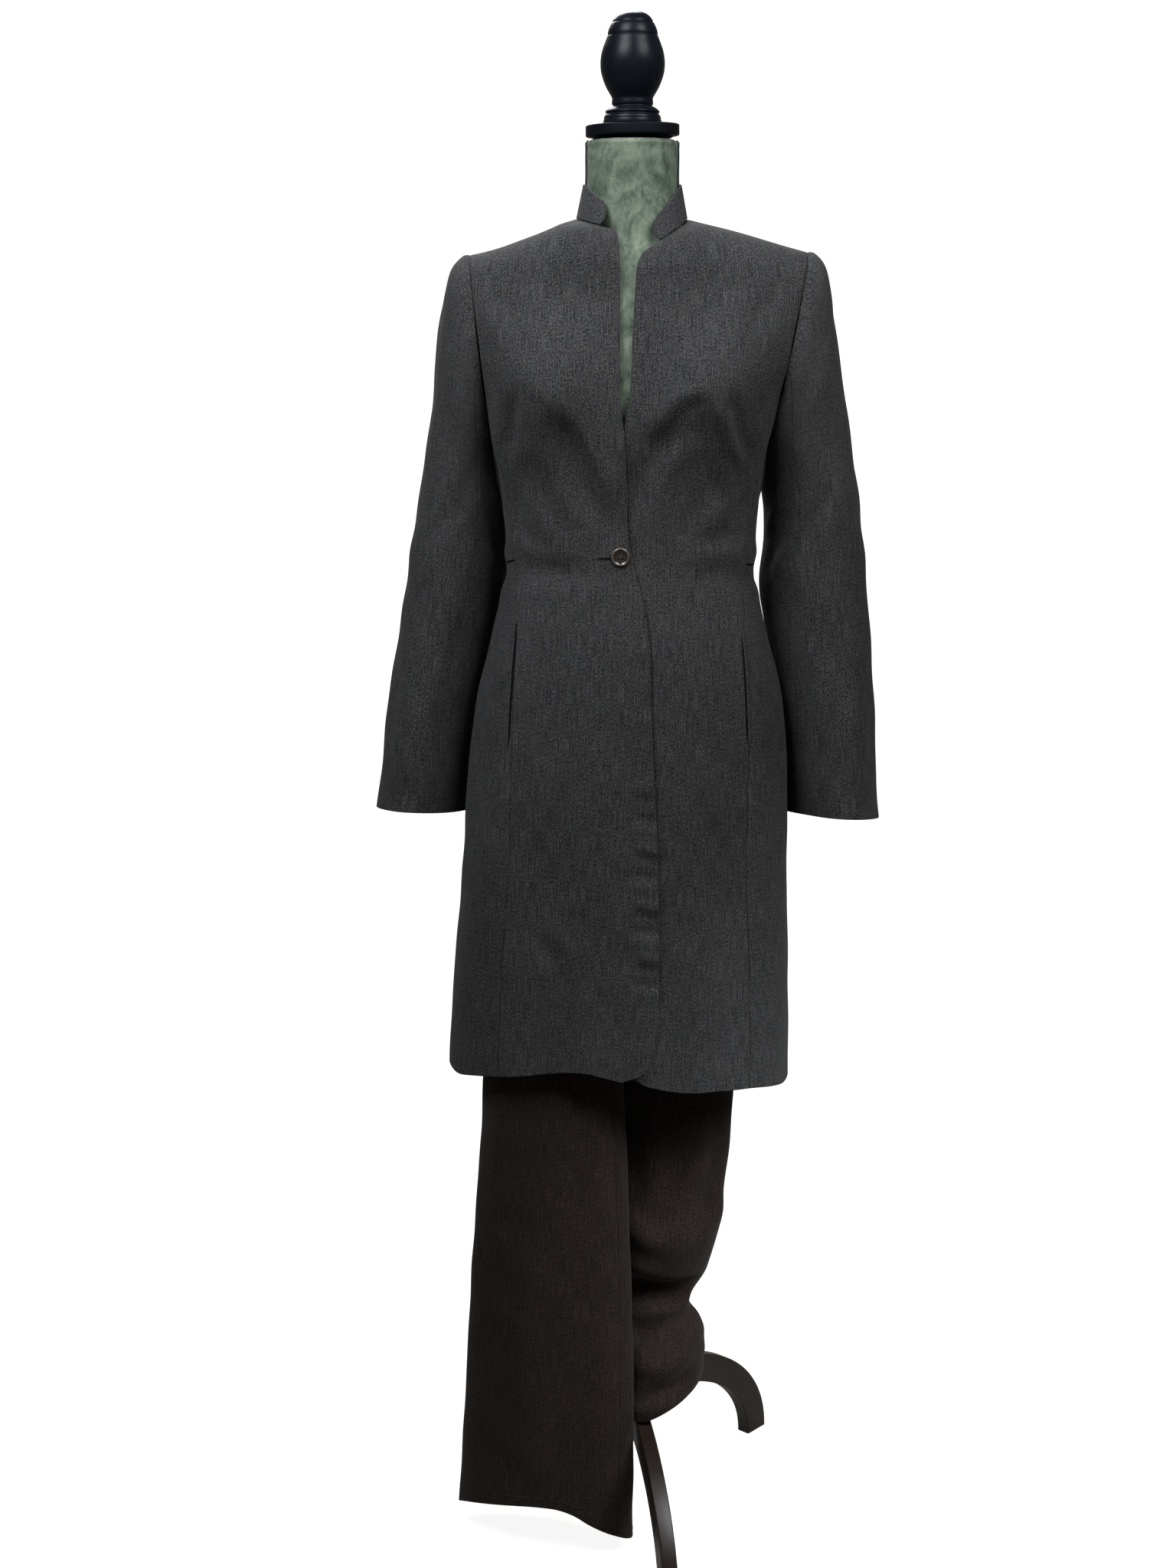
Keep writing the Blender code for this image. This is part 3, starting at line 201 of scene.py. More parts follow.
world.node_tree.nodes["Background"].inputs["Color"].default_value = (0.97, 0.98, 1.0, 1)
world.node_tree.nodes["Background"].inputs["Strength"].default_value = 0.05
bpy.context.scene.view_settings.view_transform = "Standard"

lens = bpy.data.cameras.new("camera")
lens.sensor_fit, lens.sensor_height, lens.lens = "VERTICAL", 36.0, LENS_MM
camera = bpy.data.objects.new("camera", lens)
camera.location = (AXIS[0] + CAMERA_SIDE, AXIS[1] + CAMERA_BACK, CAMERA_HEIGHT)
camera.rotation_euler = (math.radians(90 - CAMERA_TIP_DEG), 0, 0)
bpy.context.scene.collection.objects.link(camera)
bpy.context.scene.camera = camera
print("camera at", np.round(camera.location, 3))

# %% [markdown]
# ## Effects that several finishes share
#
# Weave, nap, grain and handling marks are node groups. Each is built once, has named sockets, and
# gives out only values that change over the surface. The Principled shader stays in each material.

# %% Node helpers
def add_node(tree, kind, inputs=(), **settings):
    """A node with its settings; inputs are pairs of a socket's name or number and a value or socket."""
    made = tree.nodes.new(kind)
    for name, value in settings.items():
        setattr(made, name, value)
    for socket, value in inputs:
        if isinstance(value, bpy.types.NodeSocket):
            tree.links.new(value, made.inputs[socket])
        else:
            made.inputs[socket].default_value = value
    return made


def math_node(tree, operation, first, second=0.5, third=0.5):
    """The result of one sum on sockets or numbers."""
    return add_node(tree, "ShaderNodeMath", ((0, first), (1, second), (2, third)), operation=operation).outputs[0]


def noise_at(tree, place, stretch, detail=2.0, rough=0.5, distortion=0.0):
    """Soft noise on a place that is stretched by three factors."""
    scaled = add_node(tree, "ShaderNodeVectorMath", ((0, place), (1, stretch)), operation="MULTIPLY")
    made = add_node(tree, "ShaderNodeTexNoise", (
        ("Vector", scaled.outputs[0]), ("Scale", 1.0), ("Detail", detail),
        ("Roughness", rough), ("Distortion", distortion)))
    return made.outputs["Fac"]


def effect_group(name, inputs, outputs):
    """An empty node group with named sockets, and its two end nodes."""
    tree = bpy.data.node_groups.new(name, "ShaderNodeTree")
    for socket, kind in inputs:
        tree.interface.new_socket(name=socket, in_out="INPUT", socket_type="NodeSocket" + kind)
    for socket, kind in outputs:
        tree.interface.new_socket(name=socket, in_out="OUTPUT", socket_type="NodeSocket" + kind)
    return tree, tree.nodes.new("NodeGroupInput"), tree.nodes.new("NodeGroupOutput")


def weighted(tree, start, *parts):
    """start plus each noise's distance from its middle times a weight."""
    total = start
    for value, weight in parts:
        away = math_node(tree, "SUBTRACT", value, 0.5)
        total = math_node(tree, "MULTIPLY_ADD", away, weight, total)
    return total


print("node helpers ready")

# %% [markdown]
# ### Worsted suiting
#
# The cloth is a fine twill spun from mixed grey yarns. From arm's length one sees upright streaks,
# because each warp yarn keeps its own shade for a few centimetres, and a pepper of light and dark
# flecks where the yarns cross. So the weave reads the piece's UV map, which is laid out in metres
# along the grain: the streaks follow the cut of each panel, and stay the same size everywhere.

# %% The weave group
TWILL_PITCH = 0.0022     # from one twill line to the next
WARP_STREAKS = (920.0, 36.0, 1.0)
WEFT_LINES = (45.0, 1100.0, 1.0)
YARN_DASHES = (1500.0, 430.0, 1.0)
YARN_NEPS = (590.0, 380.0, 1.0)
SHADE_CLOUDS = (11.0, 7.0, 1.0)
PALE_RARITY = 1.7        # above 1, pale flecks are fewer and lie on a darker ground


def woven_suiting_group():
    """Yarn shade and relief of a twill, from a place in metres across and along the warp.

    Streaks are single warp yarns, lines are weft yarns, dashes and neps are mixed fibres.
    """
    tree, start, end = effect_group(
        "woven_suiting",
        (("Place", "Vector"), ("Streaks", "Float"), ("Flecks", "Float"), ("Clouds", "Float")),
        (("Shade", "Float"), ("Relief", "Float")))
    place = start.outputs["Place"]
    streaks = noise_at(tree, place, WARP_STREAKS, detail=3.0, rough=0.65)
    lines = noise_at(tree, place, WEFT_LINES, detail=1.0)
    dashes = noise_at(tree, place, YARN_DASHES, detail=2.0, rough=0.8)
    neps = noise_at(tree, place, YARN_NEPS, detail=3.0, rough=1.0)
    clouds = noise_at(tree, place, SHADE_CLOUDS, detail=2.0)
    half_flecks = math_node(tree, "MULTIPLY", start.outputs["Flecks"], 0.78)
    slant = add_node(tree, "ShaderNodeVectorMath", ((0, place), (1, (1.0, 1.0, 0.0))), operation="DOT_PRODUCT")
    turn = math_node(tree, "MULTIPLY", slant.outputs["Value"], 2 * math.pi / TWILL_PITCH)
    twill = math_node(tree, "SINE", turn)
    shade = weighted(tree, 0.47, (streaks, start.outputs["Streaks"]), (lines, 0.35), (dashes, start.outputs["Flecks"]),
                     (neps, half_flecks), (clouds, start.outputs["Clouds"]))
    shade = math_node(tree, "MULTIPLY_ADD", twill, 0.05, shade)
    shade = math_node(tree, "POWER", math_node(tree, "MAXIMUM", shade, 0.0), PALE_RARITY)
    tree.links.new(shade, end.inputs["Shade"])
    relief = math_node(tree, "MULTIPLY_ADD", twill, 0.25, weighted(tree, streaks, (dashes, 0.8)))
    tree.links.new(relief, end.inputs["Relief"])
    return tree


WOVEN_SUITING = woven_suiting_group()
print("weave:", round(1 / TWILL_PITCH), "twill lines to the metre")

# %% [markdown]
# ### Crushed velvet, wood grain and handling marks
#
# Crushed velvet has its pile pressed in different directions, so it shows pale and dark patches with
# soft, torn edges: noise that is bent by its own distortion gives them. Stained wood shows faint
# long lines, which are noise pulled out along the board. Smooth finishes are never evenly smooth:
# a broad noise and a fine one change the roughness a little, as dust and fingers do.

# %% Velvet, grain and handling groups
NAP_PATCHES = (30.0, 30.0, 24.0)
NAP_TUFTS = (150.0, 150.0, 110.0)
NAP_HAIRS = (1500.0, 1500.0, 900.0)
GRAIN_LINES = (9.0, 420.0, 1.0)
GRAIN_PORES = (60.0, 2200.0, 1.0)


def crushed_nap_group():
    """Direction of the pile, as a value from dark to pale, and the relief of its tufts."""
    tree, start, end = effect_group("crushed_nap", (("Place", "Vector"),), (("Nap", "Float"), ("Relief", "Float")))
    place = start.outputs["Place"]
    patches = noise_at(tree, place, NAP_PATCHES, detail=4.0, rough=0.6, distortion=1.4)
    tufts = noise_at(tree, place, NAP_TUFTS, detail=3.0, rough=0.6, distortion=0.8)
    hairs = noise_at(tree, place, NAP_HAIRS, detail=1.0)
    nap = weighted(tree, 0.5, (patches, 2.1), (tufts, 1.0), (hairs, 0.7))
    tree.links.new(nap, end.inputs["Nap"])
    tree.links.new(weighted(tree, tufts, (hairs, 0.6)), end.inputs["Relief"])
    return tree


def wood_grain_group():
    """Grain shade and pore relief, from a place in metres along and across the board."""
    tree, start, end = effect_group("wood_grain", (("Place", "Vector"),), (("Grain", "Float"), ("Pores", "Float")))
    place = start.outputs["Place"]
    lines = noise_at(tree, place, GRAIN_LINES, detail=4.0, rough=0.6, distortion=0.4)
    pores = noise_at(tree, place, GRAIN_PORES, detail=1.0)
    tree.links.new(weighted(tree, 0.5, (lines, 1.6), (pores, 0.4)), end.inputs["Grain"])
    tree.links.new(pores, end.inputs["Pores"])
    return tree


def handling_group():
    """Roughness that drifts round a middle value, and the small relief of a sprayed surface."""
    tree, start, end = effect_group(
        "handling", (("Place", "Vector"), ("Roughness", "Float"), ("Drift", "Float")),
        (("Roughness", "Float"), ("Relief", "Float")))
    place = start.outputs["Place"]
    smears = noise_at(tree, place, (28.0, 28.0, 16.0), detail=3.0, rough=0.6, distortion=0.5)
    dust = noise_at(tree, place, (900.0, 900.0, 900.0), detail=2.0)
    rough = weighted(tree, start.outputs["Roughness"], (smears, start.outputs["Drift"]), (dust, 0.10))
    tree.links.new(rough, end.inputs["Roughness"])
    tree.links.new(weighted(tree, smears, (dust, 0.25)), end.inputs["Relief"])
    return tree


CRUSHED_NAP, WOOD_GRAIN, HANDLING = crushed_nap_group(), wood_grain_group(), handling_group()
print("effect groups:", [group.name for group in bpy.data.node_groups])

# %% [markdown]
# ## The finishes
#
# Each finish is one Principled material. Colours are mixed between a dark and a pale yarn, pile or
# grain by the groups above. The jacket's yarns are neutral grey with a few warm ones. The trousers
# are the same twill in a deeper, browner mix.

# %% Cloth and velvet finishes
def empty_material(name, roughness):
    """A material with one Principled shader, and that shader."""
    made = bpy.data.materials.new(name)
    made.use_nodes = True
    shader = made.node_tree.nodes["Principled BSDF"]
    shader.inputs["Roughness"].default_value = roughness
    return made, made.node_tree, shader


def colour_between(tree, shader, share, dark, pale):
    """Link the shader's colour to a mix of a dark and a pale colour."""
    mixed = add_node(tree, "ShaderNodeMix", (("Factor", share),), data_type="RGBA", clamp_factor=True)
    mixed.inputs[6].default_value, mixed.inputs[7].default_value = (*dark, 1), (*pale, 1)
    tree.links.new(mixed.outputs[2], shader.inputs["Base Color"])


def relief_on(tree, shader, height, depth, strength=1.0):
    """Link the shader's normal to a bump of this depth in metres."""
    bump = add_node(tree, "ShaderNodeBump", (("Height", height), ("Distance", depth), ("Strength", strength)))
    tree.links.new(bump.outputs["Normal"], shader.inputs["Normal"])


def suiting(name, dark, pale, streaks, flecks, clouds=0.22, fuzz=0.03):
    """Worsted cloth: matt, with a short fuzz that catches light at the edges."""
    made, tree, shader = empty_material(name, 0.92)
    place = add_node(tree, "ShaderNodeUVMap", uv_map="cut").outputs["UV"]
    weave = add_node(tree, "ShaderNodeGroup", (), node_tree=WOVEN_SUITING)
    tree.links.new(place, weave.inputs["Place"])
    for socket, value in (("Streaks", streaks), ("Flecks", flecks), ("Clouds", clouds)):
        weave.inputs[socket].default_value = value
    colour_between(tree, shader, weave.outputs["Shade"], dark, pale)
    relief_on(tree, shader, weave.outputs["Relief"], 0.00022, 0.55)
    shader.inputs["Sheen Weight"].default_value = fuzz
    shader.inputs["Sheen Roughness"].default_value = 0.55
    shader.inputs["Specular IOR Level"].default_value = 0.12
    return made


def crushed_velvet():
    """Sage velvet: the pile's direction sets the shade, and sheen gives its pale edge."""
    made, tree, shader = empty_material("sage_velvet", 0.8)
    place = add_node(tree, "ShaderNodeTexCoord").outputs["Object"]
    nap = add_node(tree, "ShaderNodeGroup", (), node_tree=CRUSHED_NAP)
    tree.links.new(place, nap.inputs["Place"])
    colour_between(tree, shader, nap.outputs["Nap"], (0.014, 0.028, 0.017), (0.150, 0.185, 0.135))
    relief_on(tree, shader, nap.outputs["Relief"], 0.0012, 0.5)
    shader.inputs["Sheen Weight"].default_value = 0.12
    shader.inputs["Sheen Roughness"].default_value = 0.35
    shader.inputs["Sheen Tint"].default_value = (0.62, 0.85, 0.62, 1)
    return made


JACKET_CLOTH = suiting("jacket_worsted", (0.003, 0.003, 0.0036), (0.0800, 0.0786, 0.0784), 1.35, 2.70)
COLLAR_CLOTH = suiting("collar_worsted", (0.003, 0.003, 0.0036), (0.086, 0.085, 0.088), 0.20, 3.60)
TROUSER_CLOTH = suiting("trouser_worsted", (0.0012, 0.0007, 0.0005), (0.0345, 0.0222, 0.0172), 1.50, 2.60, fuzz=0.04)
VELVET = crushed_velvet()
print("cloths:", JACKET_CLOTH.name, COLLAR_CLOTH.name, TROUSER_CLOTH.name, VELVET.name)

# %% [markdown]
# Hard finishes follow: black lacquer with a blue breath on the finial and cap, espresso stain on the sawn legs, satin
# black paint on the pole, and dark horn with paler clouds on the button, with a paler horn on its rim as a painted
# highlight. Sewing thread and the near-black painted shadow inside a slit are plain, but carry a fine twist.

# %% Hard finishes
def smooth_finish(name, dark, pale, roughness, drift, coat=0.0, metallic=0.0, depth=0.0001,
                  gleam=0.5):
    """Painted, lacquered or polished surface with handling marks."""
    made, tree, shader = empty_material(name, roughness)
    place = add_node(tree, "ShaderNodeTexCoord").outputs["Object"]
    marks = add_node(tree, "ShaderNodeGroup", (), node_tree=HANDLING)
    tree.links.new(place, marks.inputs["Place"])
    marks.inputs["Roughness"].default_value = roughness
    marks.inputs["Drift"].default_value = drift
    tree.links.new(marks.outputs["Roughness"], shader.inputs["Roughness"])
    colour_between(tree, shader, marks.outputs["Relief"], dark, pale)
    relief_on(tree, shader, marks.outputs["Relief"], depth, 0.3)
    shader.inputs["Coat Weight"].default_value = coat
    shader.inputs["Coat Roughness"].default_value = 0.22
    shader.inputs["Metallic"].default_value = metallic
    shader.inputs["Specular IOR Level"].default_value = gleam
    return made


def stained_wood():
    """Espresso stain under satin varnish; the grain runs along the board's UV map."""
    made, tree, shader = empty_material("espresso_wood", 0.40)
    place = add_node(tree, "ShaderNodeUVMap", uv_map="cut").outputs["UV"]
    grain = add_node(tree, "ShaderNodeGroup", (), node_tree=WOOD_GRAIN)
    tree.links.new(place, grain.inputs["Place"])
    colour_between(tree, shader, grain.outputs["Grain"], (0.0055, 0.0032, 0.0026), (0.021, 0.0120, 0.0085))
    relief_on(tree, shader, grain.outputs["Pores"], 0.00012, 0.35)
    rough = math_node(tree, "MULTIPLY_ADD", grain.outputs["Grain"], 0.14, 0.30)
    tree.links.new(rough, shader.inputs["Roughness"])
    shader.inputs["Specular IOR Level"].default_value = 0.34
    return made


LACQUER = smooth_finish("black_lacquer", (0.0018, 0.0022, 0.0034), (0.005, 0.0065, 0.0105), 0.34, 0.12, gleam=0.10)
CAP_BLACK = smooth_finish("matt_black_cap", (0.0015, 0.002, 0.003), (0.004, 0.0055, 0.0085), 0.52, 0.12, gleam=0.07)
WOOD = stained_wood()
BLACK_STEEL = smooth_finish("satin_black_steel", (0.012, 0.012, 0.013), (0.028, 0.028, 0.030), 0.38, 0.12, metallic=0.85)
HORN = smooth_finish("dark_horn", (0.003, 0.002, 0.0017), (0.020, 0.013, 0.010), 0.26, 0.10, coat=0.5)
# A paler copy of the horn for the button's raised rim: a painted highlight.
HORN_RIM_HIGHLIGHT = smooth_finish("horn_rim_painted_highlight", (0.022, 0.016, 0.012), (0.095, 0.072, 0.054), 0.30, 0.10, coat=0.5)
THREAD = smooth_finish("sewing_thread", (0.008, 0.0075, 0.007), (0.030, 0.028, 0.026), 0.75, 0.10)
# Near-black fill for slits and seam ends: painted shadow where the cloth opens.
PAINTED_SLIT_SHADOW = smooth_finish("slit_painted_shadow", (0.001, 0.001, 0.0011), (0.003, 0.003, 0.0032), 0.9, 0.05, gleam=0.1)
PIPING = smooth_finish("black_piping", (0.004, 0.004, 0.0045), (0.012, 0.012, 0.013), 0.6, 0.10)
print("hard finishes:", len(bpy.data.materials), "materials in all")

# %% [markdown]
# ## From points to a piece
#
# Every new piece ends as a mesh whose object stands at the origin. One function puts arrays of
# points, faces and UV places into a mesh. A second one joins a grid's rows and columns with faces.

# %% Mesh helpers
def grid_faces(rows, columns, around=False):
    """Four-cornered faces of a grid; around also joins the last column to the first."""
    number = np.arange(rows * columns).reshape(rows, columns)
    if around:
        number = np.concatenate((number, number[:, :1]), axis=1)
    return np.stack((number[:-1, :-1], number[1:, :-1], number[1:, 1:], number[:-1, 1:]), axis=-1).reshape(-1, 4)


def make_piece(name, points, faces, finish, uv=None, ends=()):
    """Mesh from arrays, shaded smooth, moved to the pole's axis, with its finish."""
    mesh = bpy.data.meshes.new(name)
    placed = points.reshape(-1, 3) + AXIS
    mesh.from_pydata(placed.tolist(), [], faces.tolist() + [list(end) for end in ends])
    mesh.shade_smooth()
    if uv is not None:
        corner = np.empty(len(mesh.loops), dtype=np.int64)
        mesh.loops.foreach_get("vertex_index", corner)
        layer = mesh.uv_layers.new(name="cut")
        layer.data.foreach_set("uv", uv.reshape(-1, 2)[corner].ravel().astype(np.float32))
    mesh.materials.append(finish)
    made = bpy.data.objects.new(name, mesh)
    bpy.context.scene.collection.objects.link(made)
    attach(made, "root")
    return made


def running_length(points, axis):
    """Distance walked along a grid's rows or columns, from 0."""
    step = np.linalg.norm(np.diff(points, axis=axis), axis=-1)
    lead = np.zeros_like(np.take(step, [0], axis=axis))
    return np.concatenate((lead, np.cumsum(step, axis=axis)), axis=axis)


print("mesh helpers ready")

# %% [markdown]
# ## Folds
#
# Cloth that hangs shows few but telling folds: drag lines from the bust to the button, hollows under the bust, soft
# flutes in the skirt. A simulation would give some folds, but not these ones. So each is placed one by one. A fold is a
# line on a view of the garment, from the front, the back or a side.
# Its cross-section is a soft ridge with a hollow beside it, and it swells and dies along its length.

# %% How a fold is made
def fold_field(across, height, folds):
    """Sum of folds. Each runs from (a0, z0) to (a1, z1) and bows sideways by a parabola.

    The section is a bell of the fold's width, less half a bell at its side; both ends fade out.
    """
    total = np.zeros(np.shape(across))
    for a0, z0, a1, z1, bow, width, rise in zip(*(folds[name] for name in "a0 z0 a1 z1 bow width rise".split())):
        run = np.array((a1 - a0, z1 - z0))
        length = np.hypot(*run)
        along = ((across - a0) * run[0] + (height - z0) * run[1]) / length ** 2
        aside = ((across - a0) * run[1] - (height - z0) * run[0]) / length
        q = (aside - bow * 4 * along * (1 - along)) / width
        ends = fade(along, -0.08, 0.30) * (1 - fade(along, 0.62, 1.08))
        total += rise * ends * (np.exp(-q * q) - 0.5 * np.exp(-(q - 1.6) ** 2))
    return total


def folded(point, normal, views):
    """Folds seen from several views; each counts only where the cloth faces that way."""
    total = np.zeros(point.shape[:-1])
    for axis, way, folds in views:
        facing = fade(normal[..., axis] * way, 0.05, 0.50)
        total += facing * fold_field(point[..., 1 - axis], point[..., 2], folds)
    return total


def hanging_waves(point, top, bottom, size):
    """Shallow upright waves that grow from the top height to the bottom height."""
    turn = np.arctan2(point[..., 0], -point[..., 1])
    wave = (np.sin(7 * turn + 0.6) + 0.7 * np.sin(12 * turn - 1.1 + 3 * point[..., 2])
            + 0.4 * np.sin(19 * turn + 2.0 - 5 * point[..., 2]))
    return size * wave * fade(point[..., 2], top, bottom)


def handled_cloth(point, size):
    """Very soft unevenness, a few centimetres long, as cloth has after wear."""
    x, y, z = np.moveaxis(point, -1, 0)
    return size * (np.sin(61 * x + 17 * z + 1.0) * np.sin(39 * z - 23 * y) + 0.6 * np.sin(83 * z + 47 * x - 31 * y)
                   * np.sin(29 * x + 13 * y + 0.4))


FRONT, BACK, LEFT_SIDE, RIGHT_SIDE = (1, -1), (1, 1), (0, 1), (0, -1)
FOLD_COLUMNS = "a0 z0 a1 z1 bow width rise"
print("folds are read in the columns:", FOLD_COLUMNS)

# %% [markdown]
# ## A panel of cloth
#
# The lattice has one line of points more than the panel past each edge, taken from the panel beyond
# the seam. So the surface leaves each seam in the direction in which its neighbour arrives. At a seam
# both panels dip into the joint, as pressed cloth does. At a free edge the cloth is turned, so the
# edge is round. The wall has an inside too, because the hems and cuffs are open.

# %% How a panel is made
CLOTH_WALL = 0.0015      # thickness of the cloth with its turned-in layer
PANEL_PITCH = 0.0042     # distance between the points of a finished panel
EDGE_STEPS = np.array((0.0, 0.0003, 0.0007, 0.0012, 0.0019, 0.0030))
EDGE_ROUNDING = {"seam": (0.0019, 0.0011), "turned": (0.0010, 0.0010)}   # radius, deepest drop
flat_sizes = {}


def beyond(line, neighbour):
    """The line that carries a grid on past its edge, at the same pitch."""
    return 2 * line - neighbour


def framed(grid, first=None, last=None):
    """The grid with one more line past each edge; a given line belongs to the next panel."""
    first = beyond(grid[:, 0], grid[:, 1]) if first is None else first
    last = beyond(grid[:, -1], grid[:, -2]) if last is None else last
    wide = np.concatenate((first[:, None], grid, last[:, None]), axis=1)
    top, bottom = beyond(wide[0], wide[1]), beyond(wide[-1], wide[-2])
    return np.concatenate((top[None], wide, bottom[None]))


def stations(start, end, pitch):
    """Places from start to end: even in the middle, close together by both ends."""
    inner = EDGE_STEPS[-1] + pitch / 2
    even = np.linspace(start + inner, end - inner, max(2, round((end - start - 2 * inner) / pitch)))
    return np.concatenate((start + EDGE_STEPS, even, end - EDGE_STEPS[::-1]))


def edge_drop(distance, kind):
    """How far the cloth dips this far from an edge: a quarter circle, cut off at its deepest drop."""
    radius, deepest = EDGE_ROUNDING[kind]
    near = np.clip(radius - distance, 0, radius)
    return np.minimum(radius - np.sqrt(radius ** 2 - near ** 2), deepest)


def cloth_surface(lattice, inside, pitch):
    """Smooth surface through a framed lattice, with its outward normals and its distances to the edges."""
    row_step = np.linalg.norm(np.diff(lattice, axis=0), axis=-1).mean(axis=1)
    column_step = np.linalg.norm(np.diff(lattice, axis=1), axis=-1).mean(axis=0)
    row_place = np.concatenate(([0], np.cumsum(row_step)))
    column_place = np.concatenate(([0], np.cumsum(column_step)))
    rows = stations(row_place[1], row_place[-2], pitch)
    columns = stations(column_place[1], column_place[-2], pitch)
    row_value, row_rate = spline_matrices(row_place, rows)
    column_value, column_rate = spline_matrices(column_place, columns)
    base = np.einsum("ri,ijk,cj->rck", row_value, lattice, column_value, optimize=True)
    down = np.einsum("ri,ijk,cj->rck", row_rate, lattice, column_value, optimize=True)
    across = np.einsum("ri,ijk,cj->rck", row_value, lattice, column_rate, optimize=True)
    normal = np.cross(down, across)
    normal /= np.linalg.norm(normal, axis=-1, keepdims=True)
    middle = (len(rows) // 2, len(columns) // 2)
    outward = np.dot(normal[middle], base[middle] - np.array(inside)) > 0
    normal = normal if outward else -normal
    wide, long = np.linalg.norm(across, axis=-1), np.linalg.norm(down, axis=-1)
    edges = ((columns - columns[0]) * wide, (columns[-1] - columns) * wide,
             (rows - rows[0])[:, None] * long, (rows[-1] - rows)[:, None] * long)
    return base, normal, edges, outward


def cloth_panel(name, lattice, inside, edges, views, finish, grain="middle",
                waves=None, handled=0.0005, extra=None, pitch=PANEL_PITCH):
    """A panel of cloth from its lattice: folds along the normals, rounded edges, and a closed wall.

    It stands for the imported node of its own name. The UV map is the cut, in metres: across from
    the grain line, and down the cloth.
    """
    base, normal, distance, outward = cloth_surface(lattice, inside, pitch)
    lift = folded(base, normal, views) + handled_cloth(base, handled)
    if waves is not None:
        lift = lift + hanging_waves(base, *waves)
    if extra is not None:
        lift = lift + extra(base, normal, distance)
    drop = np.max([edge_drop(away, kind) for away, kind in zip(distance, edges)], axis=0)
    outer = base + normal * (lift - drop)[..., None]
    inner = base + normal * (lift - CLOTH_WALL)[..., None]
    rows, columns = base.shape[:2]
    face = grid_faces(rows, columns)
    number = np.arange(rows * columns).reshape(rows, columns)
    rim = np.concatenate((number[0, :-1], number[:-1, -1], number[-1, :0:-1], number[:0:-1, 0]))
    back = rows * columns
    sides = np.stack((rim, np.roll(rim, -1), np.roll(rim, -1) + back, rim + back), axis=-1)
    faces = np.concatenate((face, face[:, ::-1] + back, sides))
    if not outward:
        faces = faces[:, ::-1]
    walked = running_length(base, 1)
    start = np.abs(base[:, 0, 0]) * np.sign(base[:, 0, 0] * base[:, -1, 0]) if grain == "edge" else -walked[:, -1] / 2
    u = walked + start[:, None]
    v = running_length(base, 0)
    v = v - v[rows // 2]
    uv = np.stack((u, v), axis=-1)
    made = make_piece(name, np.stack((outer, inner)), faces, finish, np.stack((uv, uv)))
    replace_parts(made, name)
    flat = (round(float(walked[:, -1].max()), 3), round(float(running_length(base, 0)[-1].max()), 3))
    flat_sizes[name] = flat
    return {"piece": made, "outer": outer, "normal": normal, "from_hem": distance[3]}


print("a seam dips by", EDGE_ROUNDING["seam"][1] * 1000, "mm")

# %% [markdown]
# ## The jacket's body
#
# The body is a stack of level sections. Each is a superellipse: an ellipse whose power above 2 makes
# it squarer, as a tailored back is. Two soft rounds are added for the bust. The shoulders roll over
# as quarter ellipses, from the neckline and the shoulder seam down to the chest.

# %% Jacket sections
# Jacket body: one level section for each row. left and right are half widths, front and back are
# depths from the pole's axis, and power is the superellipse's power (2 is an ellipse).
JACKET_SECTIONS = table(
    "height left right front back power",
    (1.460, 0.179, 0.186, 0.084, 0.096, 2.3),
    (1.410, 0.173, 0.179, 0.098, 0.102, 2.3),
    (1.355, 0.165, 0.167, 0.106, 0.101, 2.3),
    (1.305, 0.157, 0.155, 0.106, 0.097, 2.3),
    (1.250, 0.148, 0.146, 0.101, 0.089, 2.3),
    (1.170, 0.1405, 0.1400, 0.098, 0.081, 2.3),
    (1.110, 0.150, 0.147, 0.106, 0.094, 2.35),
    (1.050, 0.164, 0.163, 0.115, 0.110, 2.4),
    (0.950, 0.181, 0.177, 0.123, 0.128, 2.4),
    (0.860, 0.188, 0.179, 0.127, 0.131, 2.4),
    (0.700, 0.202, 0.186, 0.132, 0.134, 2.4),
    (0.550, 0.211, 0.189, 0.136, 0.138, 2.4),
)
# Each bust cup is a soft round rise of the front.
CUPS = table("x height rise", (-0.097, 1.352, 0.024), (0.081, 1.352, 0.024))
CUP_RADIUS_X = 0.046
CUP_RADIUS_Z = 0.055


def superellipse(angle, left, right, front, back, power):
    """Level outline: the angle runs from the centre front, positive to +X; power 2 is an ellipse."""
    across, along = np.sin(angle), np.cos(angle)
    x = np.sign(across) * np.abs(across) ** (2 / power) * np.where(across > 0, right, left)
    y = -np.sign(along) * np.abs(along) ** (2 / power) * np.where(along > 0, front, back)
    return x, y


def cup_rise(x, height, share=1.0):
    """How far the bust cups stand out at a place on the front."""
    rise = np.zeros(np.broadcast(x, height).shape)
    for cup_x, cup_z, cup in zip(CUPS["x"], CUPS["height"], CUPS["rise"]):
        away = ((x - cup_x) / CUP_RADIUS_X) ** 2 + ((height - cup_z) / CUP_RADIUS_Z) ** 2
        rise = rise + share * cup * np.exp(-away)
    return rise


def jacket_point(height, angle):
    """Point of the jacket's outside at a height and a section angle."""
    height, angle = np.broadcast_arrays(np.asarray(height, float), np.asarray(angle, float))
    read = {name: smooth_at(JACKET_SECTIONS["height"], values, height)
            for name, values in JACKET_SECTIONS.items() if name != "height"}
    x, y = superellipse(angle, read["left"], read["right"], read["front"], read["back"], read["power"])
    y = y - np.where(np.cos(angle) > 0, cup_rise(x, height), 0.0)
    return np.stack((x, y, height), axis=-1)


